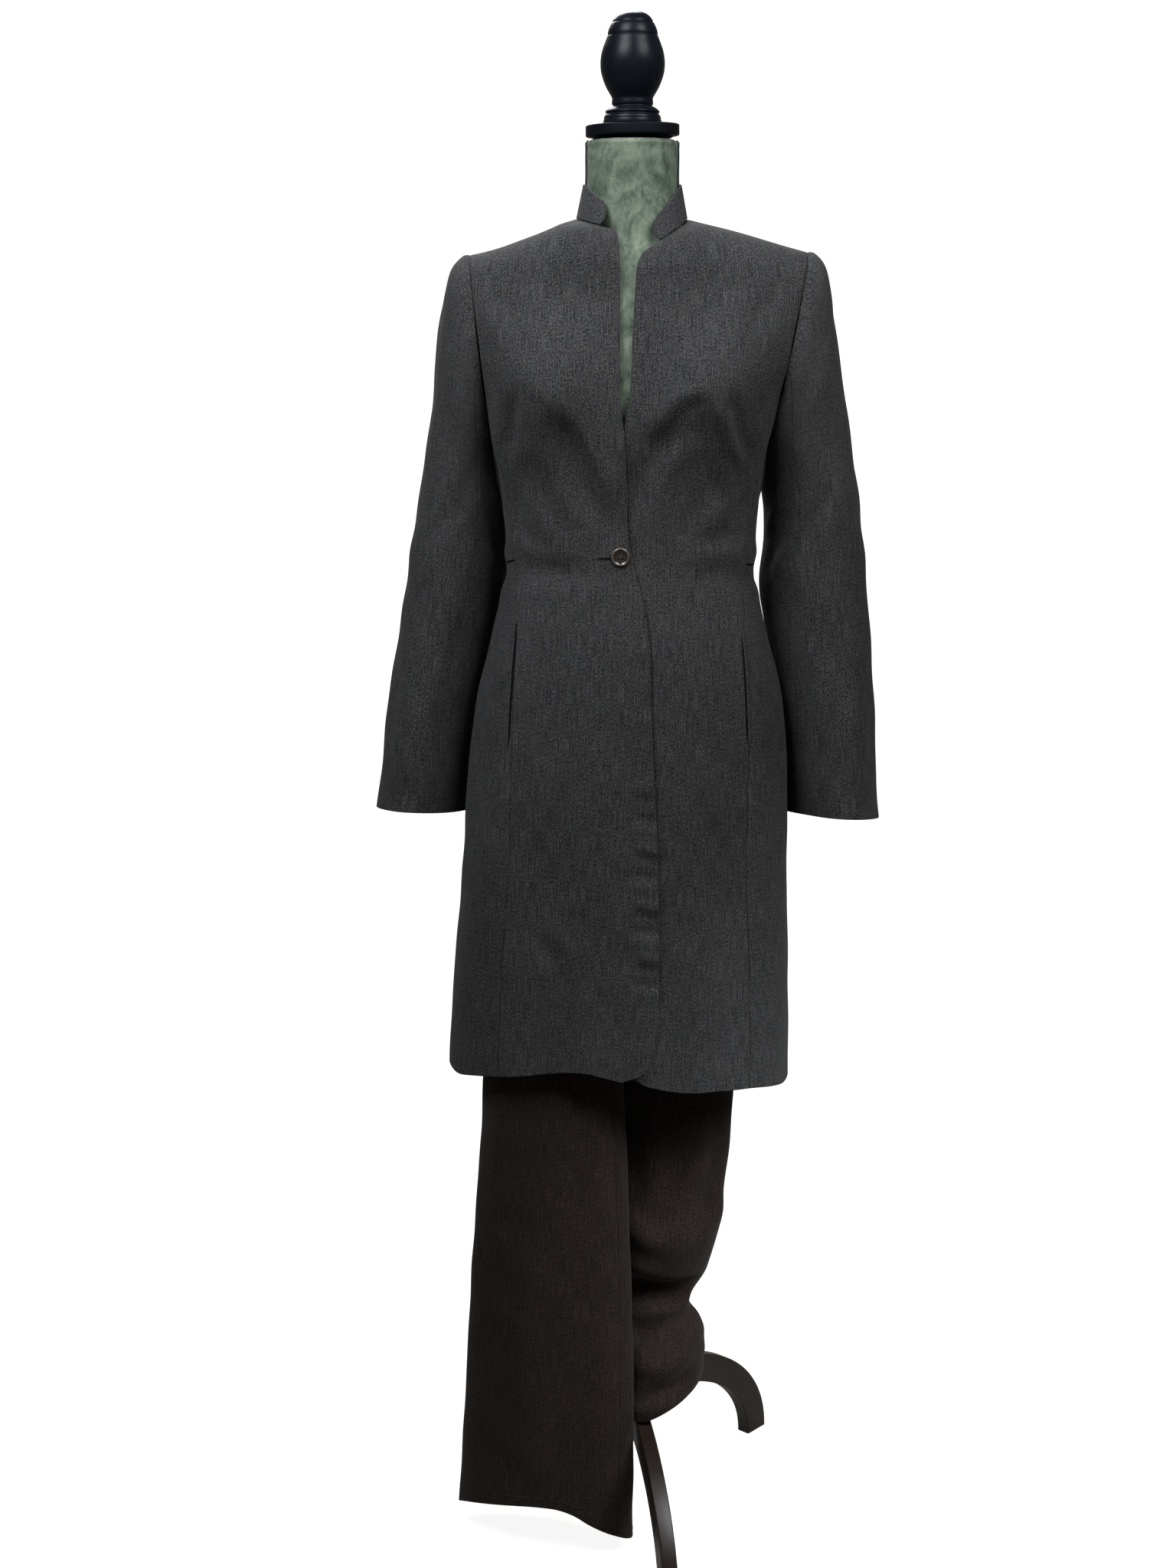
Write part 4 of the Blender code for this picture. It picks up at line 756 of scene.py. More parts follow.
def angle_of_x(height, x):
    """Section angle, on the front, of the point at this x."""
    half = np.where(x > 0, smooth_at(JACKET_SECTIONS["height"], JACKET_SECTIONS["right"], height),
                    smooth_at(JACKET_SECTIONS["height"], JACKET_SECTIONS["left"], height))
    power = smooth_at(JACKET_SECTIONS["height"], JACKET_SECTIONS["power"], height)
    return np.sign(x) * np.arcsin(np.clip(np.abs(x) / half, 0, 1) ** (power / 2))

waist = jacket_point(1.17, np.radians((-90.0, 90.0)))
print("waist is", round(float(np.ptp(waist[:, 0])), 3), "m wide")

# %% [markdown]
# ## Sleeves and armholes
#
# A sleeve is a tube between rails: its outer, inner, front and back lines. Each ring passes through
# one point of every rail. The first ring is the armhole itself, so the sleeve and the body meet on
# the same curve, and the seam cannot gape.

# %% Sleeve rails
# Armholes and sleeves: the outer and inner lines of each tube from the armhole to the cuff.
# The first row is the armhole itself: shoulder point, armpit, and its reach to the front and back.
RIGHT_SLEEVE = table(
    "outer_x outer_z inner_x inner_z front_y back_y",
    (-0.178, 1.499, -0.1565, 1.310, -0.058, 0.064),
    (-0.1965, 1.485, -0.1550, 1.295, -0.063, 0.069),
    (-0.209, 1.446, -0.1510, 1.275, -0.066, 0.070),
    (-0.2155, 1.398, -0.1460, 1.250, -0.066, 0.066),
    (-0.222, 1.340, -0.1420, 1.222, -0.063, 0.059),
    (-0.232, 1.275, -0.1390, 1.190, -0.060, 0.051),
    (-0.247, 1.182, -0.1440, 1.130, -0.058, 0.041),
    (-0.263, 1.080, -0.1625, 1.052, -0.061, 0.030),
    (-0.279, 0.978, -0.1795, 0.965, -0.066, 0.017),
    (-0.2865, 0.912, -0.1850, 0.902, -0.068, 0.008),
    (-0.2930, 0.879, -0.1875, 0.866, -0.068, 0.004),
)
LEFT_SLEEVE = table(
    "outer_x outer_z inner_x inner_z front_y back_y",
    (0.193, 1.502, 0.1545, 1.310, -0.058, 0.064),
    (0.2105, 1.489, 0.1515, 1.295, -0.063, 0.069),
    (0.2215, 1.448, 0.1490, 1.275, -0.066, 0.070),
    (0.2295, 1.398, 0.1475, 1.250, -0.066, 0.066),
    (0.239, 1.340, 0.1515, 1.222, -0.063, 0.059),
    (0.2495, 1.275, 0.1525, 1.190, -0.060, 0.051),
    (0.2625, 1.182, 0.1490, 1.130, -0.058, 0.041),
    (0.272, 1.080, 0.1610, 1.052, -0.061, 0.030),
    (0.280, 0.978, 0.1745, 0.965, -0.066, 0.017),
    (0.2845, 0.905, 0.1775, 0.895, -0.068, 0.008),
    (0.2880, 0.866, 0.1795, 0.866, -0.068, 0.004),
)
INNER_SET_BACK = 0.042   # the inner line hangs this far behind the arm's middle, beside the body
RING_STEPS = 20          # facets round a sleeve
SHOULDER_STEPS = 3       # of them, those between the shoulder seam and the chest section
ARMHOLE_STEPS = 7        # of them, those between the shoulder seam and the side panel's corner
SLEEVE_SEAM_STEP = 6     # of them, those between the sleeve's top line and each of its seams
SLEEVE_ROWS = 13


def arm_angle(step):
    """Angle round the armhole and the sleeve after a number of steps."""
    return step * 2 * math.pi / RING_STEPS


def sleeve_point(side, ring, theta):
    """Point of a sleeve: ring runs along the table's rows, theta round the tube.

    Each ring passes through four points: outer (theta 0), front, inner (pi) and back.
    """
    rails = RIGHT_SLEEVE if side == "right" else LEFT_SLEEVE
    ring, theta = np.broadcast_arrays(np.asarray(ring, float), np.asarray(theta, float))
    index = np.arange(len(rails["outer_x"]), dtype=float)
    read = {name: smooth_at(index, values, ring) for name, values in rails.items()}
    c, s = np.cos(theta), np.sin(theta)
    x = (read["outer_x"] + read["inner_x"]) / 2 + c * (read["outer_x"] - read["inner_x"]) / 2
    z = (read["outer_z"] + read["inner_z"]) / 2 + c * (read["outer_z"] - read["inner_z"]) / 2
    y = s * (read["front_y"] - read["back_y"]) / 2 + s * s * (read["front_y"] + read["back_y"]) / 2
    y = y + INNER_SET_BACK * ((1 - c) / 2) ** 2 * fade(ring, 0.5, 4.0)
    return np.stack((x, y, z), axis=-1)


def armhole_point(side, theta):
    """Point of the armhole: theta is 0 at the shoulder point, positive to the front, pi at the armpit."""
    return sleeve_point(side, np.zeros_like(theta), theta)


def shoulder_point(side):
    rails = RIGHT_SLEEVE if side == "right" else LEFT_SLEEVE
    return np.array((rails["outer_x"][0], 0.0, rails["outer_z"][0]))

cuff = sleeve_point("left", 10.0, arm_angle(np.arange(RING_STEPS + 1)))
print("cuff measures", round(float(np.linalg.norm(np.diff(cuff, axis=0), axis=-1).sum()), 3), "m round")

# %% [markdown]
# ## Neckline, front edges, seams and hem
#
# The neckline is an ellipse round the neck that drops towards the open V. The wearer's right front
# laps over the left one, so the two edges part from each other by the thickness of the cloth. The
# hem is not level: the fronts hang a little shorter than the sides.

# %% Neckline, edges and hem
# Neckline: an ellipse round the neck, its height given at the sides, centre back and front corners.
NECK_HALF_WIDTH = 0.061
NECK_FRONT = 0.067
NECK_BACK = 0.063
NECK_SIDE_Z = 1.537
SHOULDER_RISE = {"right": -0.0028, "left": 0.0012}   # bow of the shoulder seam above a straight line
NECK_BACK_Z = 1.548
NECK_CORNER_Z = {"right": 1.525, "left": 1.504}
NECK_CORNER_ANGLE = {"right": math.radians(17.5), "left": math.radians(14.0)}   # from the centre front
# Front edges, from the neckline's corner to the hem's rounded corner.
FRONT_EDGES = table(
    "height right left",
    (1.525, -0.0225, 0.018),
    (1.490, -0.0160, 0.006),
    (1.430, -0.0142, 0.000),
    (1.350, -0.0140, -0.004),
    (1.300, -0.0085, -0.013),
    (1.190, -0.0030, -0.020),
    (1.110, 0.0160, -0.024),
    (1.000, 0.0215, -0.026),
    (0.870, 0.0280, -0.028),
    (0.720, 0.0310, -0.029),
    (0.650, 0.0290, -0.027),
    (0.618, 0.0230, -0.021),
    (0.600, 0.0090, -0.007),
    (0.590, -0.0150, 0.017),
)
# Seams between front and side panels, and between side and back panels, as section angles.
PANEL_SEAMS = table(
    "height front back",
    (1.349, 72.0, 106.0),
    (1.250, 69.0, 111.0),
    (1.170, 64.0, 117.0),
    (1.100, 54.0, 122.0),
    (0.970, 45.0, 128.0),
    (0.550, 43.0, 132.0),
)
# The hem's height round the body; the angle is positive towards +X.
HEM = table(
    "angle height",
    (-180, 0.572), (-130, 0.570), (-90, 0.574), (-70, 0.573), (-55, 0.581), (-30, 0.593), (-12, 0.601),
    (0, 0.589), (12, 0.577), (30, 0.575), (50, 0.571), (70, 0.562), (90, 0.560), (130, 0.564), (180, 0.572),
)
HEM_ZONE_TOP = 0.72      # the level sections follow the hem's rise and fall below this height
BODY_HEIGHTS = (1.300, 1.250, 1.210, 1.170, 1.130, 1.090, 1.040, 0.980, 0.910, 0.840, 0.780)
HEM_ROWS = (0.0, 0.4, 0.75, 0.9, 1.0)
CHEST_Z = 1.460          # height of the section where the shoulders' roll ends
CORNER_Z = 1.349         # height of the side panel's upper corners
LAP_STEP = 0.0023        # the lapped front stands out, and the under front stands in, by this much
LAP_REACH = 0.050        # |x| up to which the two fronts keep that step
LAP_FADE = 0.045         # width over which the step fades out
LAP_TOP = 1.370          # height from which the step fades out towards the shoulders


def neckline_point(angle):
    """Point of the neckline at an angle from the front, positive to +X."""
    angle = np.asarray(angle, float)
    x, y = superellipse(angle, NECK_HALF_WIDTH, NECK_HALF_WIDTH, NECK_FRONT, NECK_BACK, 2.0)
    back = fade(np.abs(angle), math.pi / 2, math.pi)
    corner = np.where(angle > 0, NECK_CORNER_Z["left"], NECK_CORNER_Z["right"])
    start = np.where(angle > 0, NECK_CORNER_ANGLE["left"], NECK_CORNER_ANGLE["right"])
    front = np.clip((math.pi / 2 - np.abs(angle)) / (math.pi / 2 - start), 0, 1) ** 1.5
    z = NECK_SIDE_Z + (NECK_BACK_Z - NECK_SIDE_Z) * back + (corner - NECK_SIDE_Z) * front
    return np.stack((x, y, z), axis=-1)


def lap(grid, side):
    """The grid's front moved out on the lapped side, and in on the under side, near the middle."""
    step = LAP_STEP * (1 - fade(np.abs(grid[..., 0]), LAP_REACH, LAP_REACH + LAP_FADE))
    step *= 1 - fade(grid[..., 2], LAP_TOP, CHEST_Z)
    moved = grid.copy()
    moved[..., 1] += -step if side == "right" else step
    return moved


def hem_height(angle):
    return smooth_at(HEM["angle"], HEM["height"], np.degrees(angle))

print("the V is", round(float(FRONT_EDGES["left"][0] - FRONT_EDGES["right"][0]), 3), "m wide at its top")

# %% Rows of the body panels
def neck_columns(columns):
    """Columns of a body panel that end in the neckline; the rest end in the shoulder seam."""
    return round(columns * 0.4)


def top_edge(side, start_angle, columns):
    """Neckline from the start angle to the neck's side, then the shoulder seam to the shoulder point."""
    sign = -1.0 if side == "right" else 1.0
    on_neck = neck_columns(columns)
    neck = neckline_point(sign * np.linspace(start_angle, math.pi / 2, on_neck + 1))
    share = np.linspace(0, 1, columns - on_neck + 1)[1:, None]
    seam = neck[-1] + (shoulder_point(side) - neck[-1]) * share
    seam[:, 2:] += SHOULDER_RISE[side] * np.sin(math.pi * share)
    return np.concatenate((neck, seam))


def towards(row, end):
    """The row bent so that its last point is the end."""
    return row + (end - row[-1]) * np.linspace(0, 1, len(row))[:, None] ** 2


def shoulder_roll(top, chest, side, turn_sign):
    """Rows from the top edge over to the chest section, as quarter ellipses that end in the armhole."""
    rows = []
    for step in range(SHOULDER_STEPS):
        turn = step / SHOULDER_STEPS * math.pi / 2
        row = top + (chest - top) * math.sin(turn)
        row[:, 2] = top[:, 2] + (chest[:, 2] - top[:, 2]) * (1 - math.cos(turn))
        rows.append(towards(row, armhole_point(side, turn_sign * arm_angle(step))))
    return rows


def seam_angle(side, which, height):
    """Section angle of a side panel's front or back seam, with the side's sign."""
    sign = -1.0 if side == "right" else 1.0
    return sign * math.radians(float(smooth_at(PANEL_SEAMS["height"], PANEL_SEAMS[which], height)))


def side_pitch(side, height):
    """Angle between two columns of the side panel."""
    columns = RING_STEPS - 2 * ARMHOLE_STEPS
    return (seam_angle(side, "back", height) - seam_angle(side, "front", height)) / columns


def armhole_row(side, step, which, start, columns):
    """A level row from a start angle to the armhole's point at this step, and one point past it."""
    end = armhole_point(side, arm_angle(step) if which == "front" else -arm_angle(step))
    last = seam_angle(side, which, CORNER_Z)
    row = towards(jacket_point(np.full(columns + 1, end[2]), np.linspace(start, last, columns + 1)), end)
    return np.concatenate((row, beyond(row[-1:], row[-2:-1])))


def seam_columns(side, height, start, which, columns):
    """Angles from a start to the side panel's seam, and one pitch of the side panel past it."""
    last = seam_angle(side, which, height)
    past = side_pitch(side, height) * (1 if which == "front" else -1)
    return np.append(np.linspace(start, last, columns + 1), last + past)


def seam_point(side, which, height):
    """Point of a side panel's seam; near the armhole the seam is drawn to the armhole's corner."""
    turn = arm_angle(ARMHOLE_STEPS) * (1 if which == "front" else -1)
    corner = armhole_point(side, turn)
    level = jacket_point(corner[2], seam_angle(side, which, float(corner[2])))
    near = float(np.clip((height - BODY_HEIGHTS[1]) / (corner[2] - BODY_HEIGHTS[1]), 0, 1))
    return jacket_point(height, seam_angle(side, which, height)) + (corner - level) * near


def body_row(side, height, start, which, columns):
    """A level row below the armhole that ends in the seam of the side panel."""
    row = jacket_point(height, seam_columns(side, height, start, which, columns))
    share = np.append(np.linspace(0, 1, columns + 1), 1.0)[:, None] ** 2
    return row + (seam_point(side, which, height) - row[-2]) * share


def hem_rows(side, start_of, which, columns):
    """Rows that turn from the level section at the zone's top into the hem."""
    rows = []
    for share in HEM_ROWS:
        start_height = HEM_ZONE_TOP
        for _ in range(3):
            angle = seam_columns(side, HEM_ZONE_TOP, start_of(start_height), which, columns)
            heights = HEM_ZONE_TOP + (hem_height(angle) - HEM_ZONE_TOP) * share
            start_height = float(heights[0])
        rows.append(jacket_point(heights, angle))
    return rows


def body_panel(side, which, start_of, columns, first_of=None):
    """Framed grid of a front or back half, from its centre line to the armhole and the side seam."""
    turn_sign = 1 if which == "front" else -1
    chest = armhole_row(side, SHOULDER_STEPS, which, start_of(CHEST_Z), columns)[:-1]
    neck_start = NECK_CORNER_ANGLE[side] if which == "front" else math.pi
    rows = shoulder_roll(top_edge(side, neck_start, columns), chest, side, turn_sign)
    rows = [np.concatenate((row, beyond(row[-1:], row[-2:-1]))) for row in rows]
    for step in range(SHOULDER_STEPS, ARMHOLE_STEPS + 1):
        height = float(armhole_point(side, turn_sign * arm_angle(step))[2])
        rows.append(armhole_row(side, step, which, start_of(height), columns))
    rows += [body_row(side, height, start_of(height), which, columns) for height in BODY_HEIGHTS]
    rows += hem_rows(side, start_of, which, columns)
    wide = np.array(rows)
    if which == "front":
        wide = lap(wide, side)
    grid = wide[:, :-1]
    first = None if first_of is None else first_of(grid)
    return framed(grid, first=first, last=wide[:, -1])

# %% [markdown]
# ## Folds of the jacket
#
# Each row is one fold: where it starts and ends on the view, how it bows, how wide it is and how far
# it rises, in metres. A negative rise is a hollow. The fronts show drag lines from the bust to the
# button, hollows beside the bust and ripples down the lapped edge, which the facing behind it makes.
# The back and the sides, which one sees less, get folds of the same kind and size.

# %% The jacket's folds
JACKET_FRONT_FOLDS = table(
    FOLD_COLUMNS,
    (-0.121, 1.366, -0.134, 1.272, 0.004, 0.0080, -0.0045),
    (-0.082, 1.352, -0.018, 1.214, -0.010, 0.0110, 0.0039),
    (-0.104, 1.316, -0.034, 1.196, 0.009, 0.0120, 0.0030),
    (-0.126, 1.262, -0.070, 1.180, 0.007, 0.0120, 0.0025),
    (-0.062, 1.508, -0.086, 1.425, 0.004, 0.0085, -0.0029),
    (-0.152, 1.462, -0.118, 1.392, -0.006, 0.0110, -0.0024),
    (-0.140, 1.190, -0.052, 1.176, 0.003, 0.0110, 0.0021),
    (-0.136, 1.146, -0.044, 1.166, -0.004, 0.0130, -0.0023),
    (-0.030, 1.150, -0.072, 1.096, 0.006, 0.0110, 0.0018),
    (-0.112, 1.096, -0.104, 0.742, 0.008, 0.0200, -0.0029),
    (-0.060, 1.104, -0.052, 0.660, -0.007, 0.0220, 0.0025),
    (-0.154, 0.940, -0.160, 0.610, 0.004, 0.0180, 0.0025),
    (-0.092, 0.776, -0.062, 0.736, 0.005, 0.0090, 0.0016),
    (-0.104, 0.748, -0.082, 0.704, -0.004, 0.0080, -0.0015),
    (-0.020, 0.700, -0.034, 0.610, 0.004, 0.0140, -0.0021),
    (0.020, 1.306, 0.084, 1.362, -0.014, 0.0100, 0.0036),
    (0.104, 1.360, 0.134, 1.270, 0.005, 0.0080, -0.0048),
    (0.090, 1.344, 0.112, 1.232, 0.005, 0.0100, 0.0036),
    (0.068, 1.312, 0.010, 1.196, 0.008, 0.0120, 0.0030),
    (0.112, 1.250, 0.050, 1.182, -0.006, 0.0120, 0.0023),
    (0.062, 1.500, 0.090, 1.420, -0.004, 0.0090, -0.0024),
    (0.160, 1.470, 0.124, 1.398, 0.006, 0.0110, -0.0024),
    (0.138, 1.182, 0.042, 1.172, 0.003, 0.0120, 0.0021),
    (0.140, 1.138, 0.060, 1.160, 0.004, 0.0130, -0.0021),
    (0.046, 1.130, 0.070, 0.800, 0.010, 0.0220, 0.0024),
    (0.100, 1.090, 0.112, 0.640, -0.006, 0.0210, -0.0029),
    (0.146, 0.960, 0.152, 0.606, 0.004, 0.0180, 0.0024),
    (0.060, 0.760, 0.052, 0.604, -0.004, 0.0160, 0.0019),
    (-0.078, 1.336, -0.016, 1.196, 0.012, 0.0240, -0.0046),
    (-0.110, 1.290, -0.126, 1.196, 0.004, 0.0200, -0.0030),
    (0.074, 1.346, 0.004, 1.292, -0.014, 0.0160, -0.0020),
    (0.040, 1.318, 0.006, 1.206, 0.008, 0.0200, -0.0038),
    (0.096, 1.352, 0.121, 1.270, 0.003, 0.0090, 0.0030),
    (0.112, 1.290, 0.120, 1.190, -0.004, 0.0180, -0.0026),
)
EDGE_RIPPLES = table(
    FOLD_COLUMNS,
    (0.004, 0.928, 0.036, 0.921, 0.001, 0.0075, 0.0021),
    (0.000, 0.893, 0.037, 0.889, 0.001, 0.0070, -0.0026),
    (0.002, 0.862, 0.038, 0.853, -0.001, 0.0075, 0.0029),
    (-0.004, 0.829, 0.038, 0.826, 0.001, 0.0065, -0.0026),
    (0.001, 0.800, 0.040, 0.790, 0.001, 0.0080, 0.0032),
    (-0.002, 0.766, 0.040, 0.762, -0.001, 0.0070, -0.0027),
    (0.004, 0.738, 0.040, 0.731, 0.001, 0.0070, 0.0026),
    (0.002, 0.706, 0.039, 0.703, 0.001, 0.0065, -0.0021),
    (0.006, 1.080, 0.028, 1.064, 0.001, 0.0090, 0.0019),
    (0.004, 1.020, 0.030, 1.012, 0.001, 0.0090, -0.0019),
)
JACKET_BACK_FOLDS = table(
    FOLD_COLUMNS,
    (-0.146, 1.452, -0.100, 1.352, 0.010, 0.0130, 0.0034),
    (-0.130, 1.372, -0.072, 1.250, 0.008, 0.0120, -0.0027),
    (-0.108, 1.208, -0.030, 1.190, 0.006, 0.0120, 0.0027),
    (-0.114, 1.160, -0.024, 1.150, -0.005, 0.0110, -0.0022),
    (-0.080, 1.118, -0.092, 0.820, 0.012, 0.0230, 0.0029),
    (-0.040, 1.060, -0.030, 0.640, -0.008, 0.0240, -0.0026),
    (-0.128, 0.930, -0.142, 0.600, 0.006, 0.0210, 0.0027),
    (0.150, 1.448, 0.094, 1.344, -0.010, 0.0130, 0.0033),
    (0.132, 1.360, 0.080, 1.246, -0.007, 0.0120, -0.0025),
    (0.110, 1.214, 0.034, 1.184, -0.006, 0.0120, 0.0026),
    (0.116, 1.150, 0.030, 1.160, 0.004, 0.0120, -0.0021),
    (0.066, 1.120, 0.084, 0.780, -0.012, 0.0230, 0.0026),
    (0.112, 1.040, 0.120, 0.640, 0.008, 0.0220, -0.0026),
    (0.036, 0.900, 0.046, 0.600, -0.006, 0.0210, 0.0025),
    (-0.052, 1.516, 0.050, 1.512, 0.004, 0.0100, -0.0014),
)
JACKET_SIDE_FOLDS = table(
    FOLD_COLUMNS,
    (-0.020, 1.300, 0.020, 1.230, 0.006, 0.0110, 0.0023),
    (0.060, 1.290, 0.020, 1.212, -0.006, 0.0110, -0.0021),
    (-0.040, 1.180, 0.050, 1.172, 0.004, 0.0110, 0.0022),
    (-0.030, 1.140, 0.056, 1.148, -0.004, 0.0110, -0.0020),
    (0.000, 1.080, -0.020, 0.780, 0.010, 0.0220, 0.0026),
    (0.062, 1.020, 0.070, 0.640, -0.008, 0.0220, -0.0025),
    (-0.052, 0.900, -0.050, 0.600, 0.006, 0.0190, 0.0023),
)
SLEEVE_OUTER_FOLDS = table(
    FOLD_COLUMNS,
    (0.030, 1.470, 0.020, 1.330, 0.010, 0.0160, 0.0022),
    (-0.020, 1.440, -0.016, 1.290, -0.006, 0.0130, -0.0018),
    (0.056, 1.340, 0.000, 1.200, 0.006, 0.0150, 0.0014),
    (-0.030, 1.240, 0.030, 1.180, 0.006, 0.0150, -0.0010),
    (-0.036, 1.190, 0.022, 1.140, -0.005, 0.0150, 0.0009),
    (0.020, 1.110, 0.004, 0.930, 0.006, 0.0140, 0.0017),
    (-0.030, 1.060, -0.036, 0.900, -0.004, 0.0120, -0.0015),
)
SLEEVE_FRONT_FOLDS = table(
    FOLD_COLUMNS,
    (-0.200, 1.420, -0.176, 1.300, 0.006, 0.0110, 0.0022),
    (-0.176, 1.280, -0.210, 1.190, -0.006, 0.0100, -0.0024),
    (-0.188, 1.220, -0.228, 1.140, 0.006, 0.0100, 0.0021),
    (-0.184, 1.120, -0.206, 0.960, 0.005, 0.0110, -0.0018),
    (-0.240, 1.080, -0.262, 0.910, -0.006, 0.0130, 0.0017),
    (0.216, 1.430, 0.188, 1.310, -0.006, 0.0110, 0.0022),
    (0.214, 1.250, 0.196, 1.130, 0.008, 0.0100, -0.0030),
    (0.232, 1.290, 0.206, 1.170, -0.006, 0.0110, 0.0024),
    (0.192, 1.180, 0.204, 1.010, 0.004, 0.0100, 0.0022),
    (0.250, 1.120, 0.262, 0.920, 0.006, 0.0130, 0.0017),
    (0.222, 1.050, 0.214, 0.900, -0.004, 0.0100, -0.0018),
)
SLEEVE_INNER_FOLDS = table(
    FOLD_COLUMNS,
    (-0.020, 1.250, 0.030, 1.190, 0.006, 0.0100, 0.0023),
    (-0.030, 1.200, 0.020, 1.140, -0.006, 0.0100, -0.0022),
    (0.010, 1.100, 0.000, 0.930, 0.006, 0.0120, 0.0017),
)
BODY_VIEWS = ((*FRONT, JACKET_FRONT_FOLDS), (*BACK, JACKET_BACK_FOLDS),
              (*LEFT_SIDE, JACKET_SIDE_FOLDS), (*RIGHT_SIDE, JACKET_SIDE_FOLDS))
print("folds on the body:", sum(len(view[2]["rise"]) for view in BODY_VIEWS))

# %% [markdown]
# ## Cutting the fronts, backs and side panels
#
# The lattice of a front or back starts at its centre line and ends at the armhole and the side
# panel's seam. The lapped front carries the ripples of its facing as well.

# %% Fronts, backs and side panels
PANEL_COLUMNS = {"front": 14, "back": 12}
SHOULDER_SOFTNESS = 0.0009


def jacket_front(side):
    """Front from its open edge to the armhole and the side panel."""
    def edge_angle(height):
        x = smooth_at(FRONT_EDGES["height"], FRONT_EDGES[side], np.array(height))
        return float(angle_of_x(np.array(height), x))

    sign = -1.0 if side == "right" else 1.0
    views = BODY_VIEWS + (((*FRONT, EDGE_RIPPLES),) if side == "right" else ())
    lattice = body_panel(side, "front", edge_angle, PANEL_COLUMNS["front"])
    return cloth_panel("jacket_front_" + side, lattice, (sign * 0.08, 0.0, 1.0), ("turned", "seam", "seam", "turned"),
                       views, JACKET_CLOTH, grain="edge", waves=(0.98, 0.60, 0.0011))


def jacket_back(side):
    """Half of the back, from the centre back seam."""
    def over_centre(grid):
        return grid[:, 1] * np.array((-1.0, 1.0, 1.0))

    sign = -1.0 if side == "right" else 1.0
    lattice = body_panel(side, "back", lambda height: sign * math.pi, PANEL_COLUMNS["back"], over_centre)
    return cloth_panel("jacket_back_" + side, lattice, (sign * 0.08, 0.0, 1.0), ("seam", "seam", "seam", "turned"),
                       BODY_VIEWS, JACKET_CLOTH, grain="edge", waves=(0.98, 0.60, 0.0014))


def jacket_side(side):
    """Side panel, from the underarm to the hem."""
    columns = RING_STEPS - 2 * ARMHOLE_STEPS
    steps = np.arange(-1, columns + 2)

    def angles(height):
        return seam_angle(side, "front", height) + side_pitch(side, height) * steps

    top = armhole_point(side, arm_angle(ARMHOLE_STEPS + steps))
    top[0], top[-1] = beyond(top[1], top[2]), beyond(top[-2], top[-3])
    first = jacket_point(BODY_HEIGHTS[1], angles(BODY_HEIGHTS[1]))
    across = np.clip(steps / columns, 0, 1)[:, None]
    between = top + (first - top) * 0.5
    between = between + (seam_point(side, "front", BODY_HEIGHTS[0]) - between[1]) * (1 - across)
    between = between + (seam_point(side, "back", BODY_HEIGHTS[0]) - between[-2]) * across
    rows = [top, between] + [jacket_point(height, angles(height)) for height in BODY_HEIGHTS[1:]]
    angle = angles(HEM_ZONE_TOP)
    rows += [jacket_point(HEM_ZONE_TOP + (hem_height(angle) - HEM_ZONE_TOP) * share, angle) for share in HEM_ROWS]
    wide = np.array(rows)
    lattice = framed(wide[:, 1:-1], first=wide[:, 0], last=wide[:, -1])
    return cloth_panel("jacket_side_" + side, lattice, (0.0, 0.0, 1.0), ("seam", "seam", "seam", "turned"),
                       BODY_VIEWS, JACKET_CLOTH, waves=(0.98, 0.60, 0.0012))


jacket = {}
for side in ("right", "left"):
    jacket["front_" + side] = jacket_front(side)
    jacket["back_" + side] = jacket_back(side)
    jacket["side_" + side] = jacket_side(side)
print("body panels, width and length as cut:", {n: s for n, s in flat_sizes.items()})

# %% [markdown]
# ## The sleeves
#
# A two-piece sleeve has an upper and an under part. Its head is eased into the armhole, so a small
# roll of cloth stands up beside the seam over the shoulder. That roll is added as a bell along the
# top edge, and it fades towards the underarm.

# %% Upper and under sleeves
HEAD_ROLL = 0.0022       # how far the eased head stands up
HEAD_ROLL_PLACE = 0.0065
HEAD_ROLL_WIDTH = 0.0055
CUFF_LIFT = 0.0105       # the cuff is cut a little higher at the front of the wrist


def head_roll(point, normal, distance):
    """A bell along the armhole seam, full over the shoulder and gone below the chest."""
    bell = np.exp(-((distance[2] - HEAD_ROLL_PLACE) / HEAD_ROLL_WIDTH) ** 2)
    return HEAD_ROLL * bell * fade(point[..., 2], 1.400, 1.470)


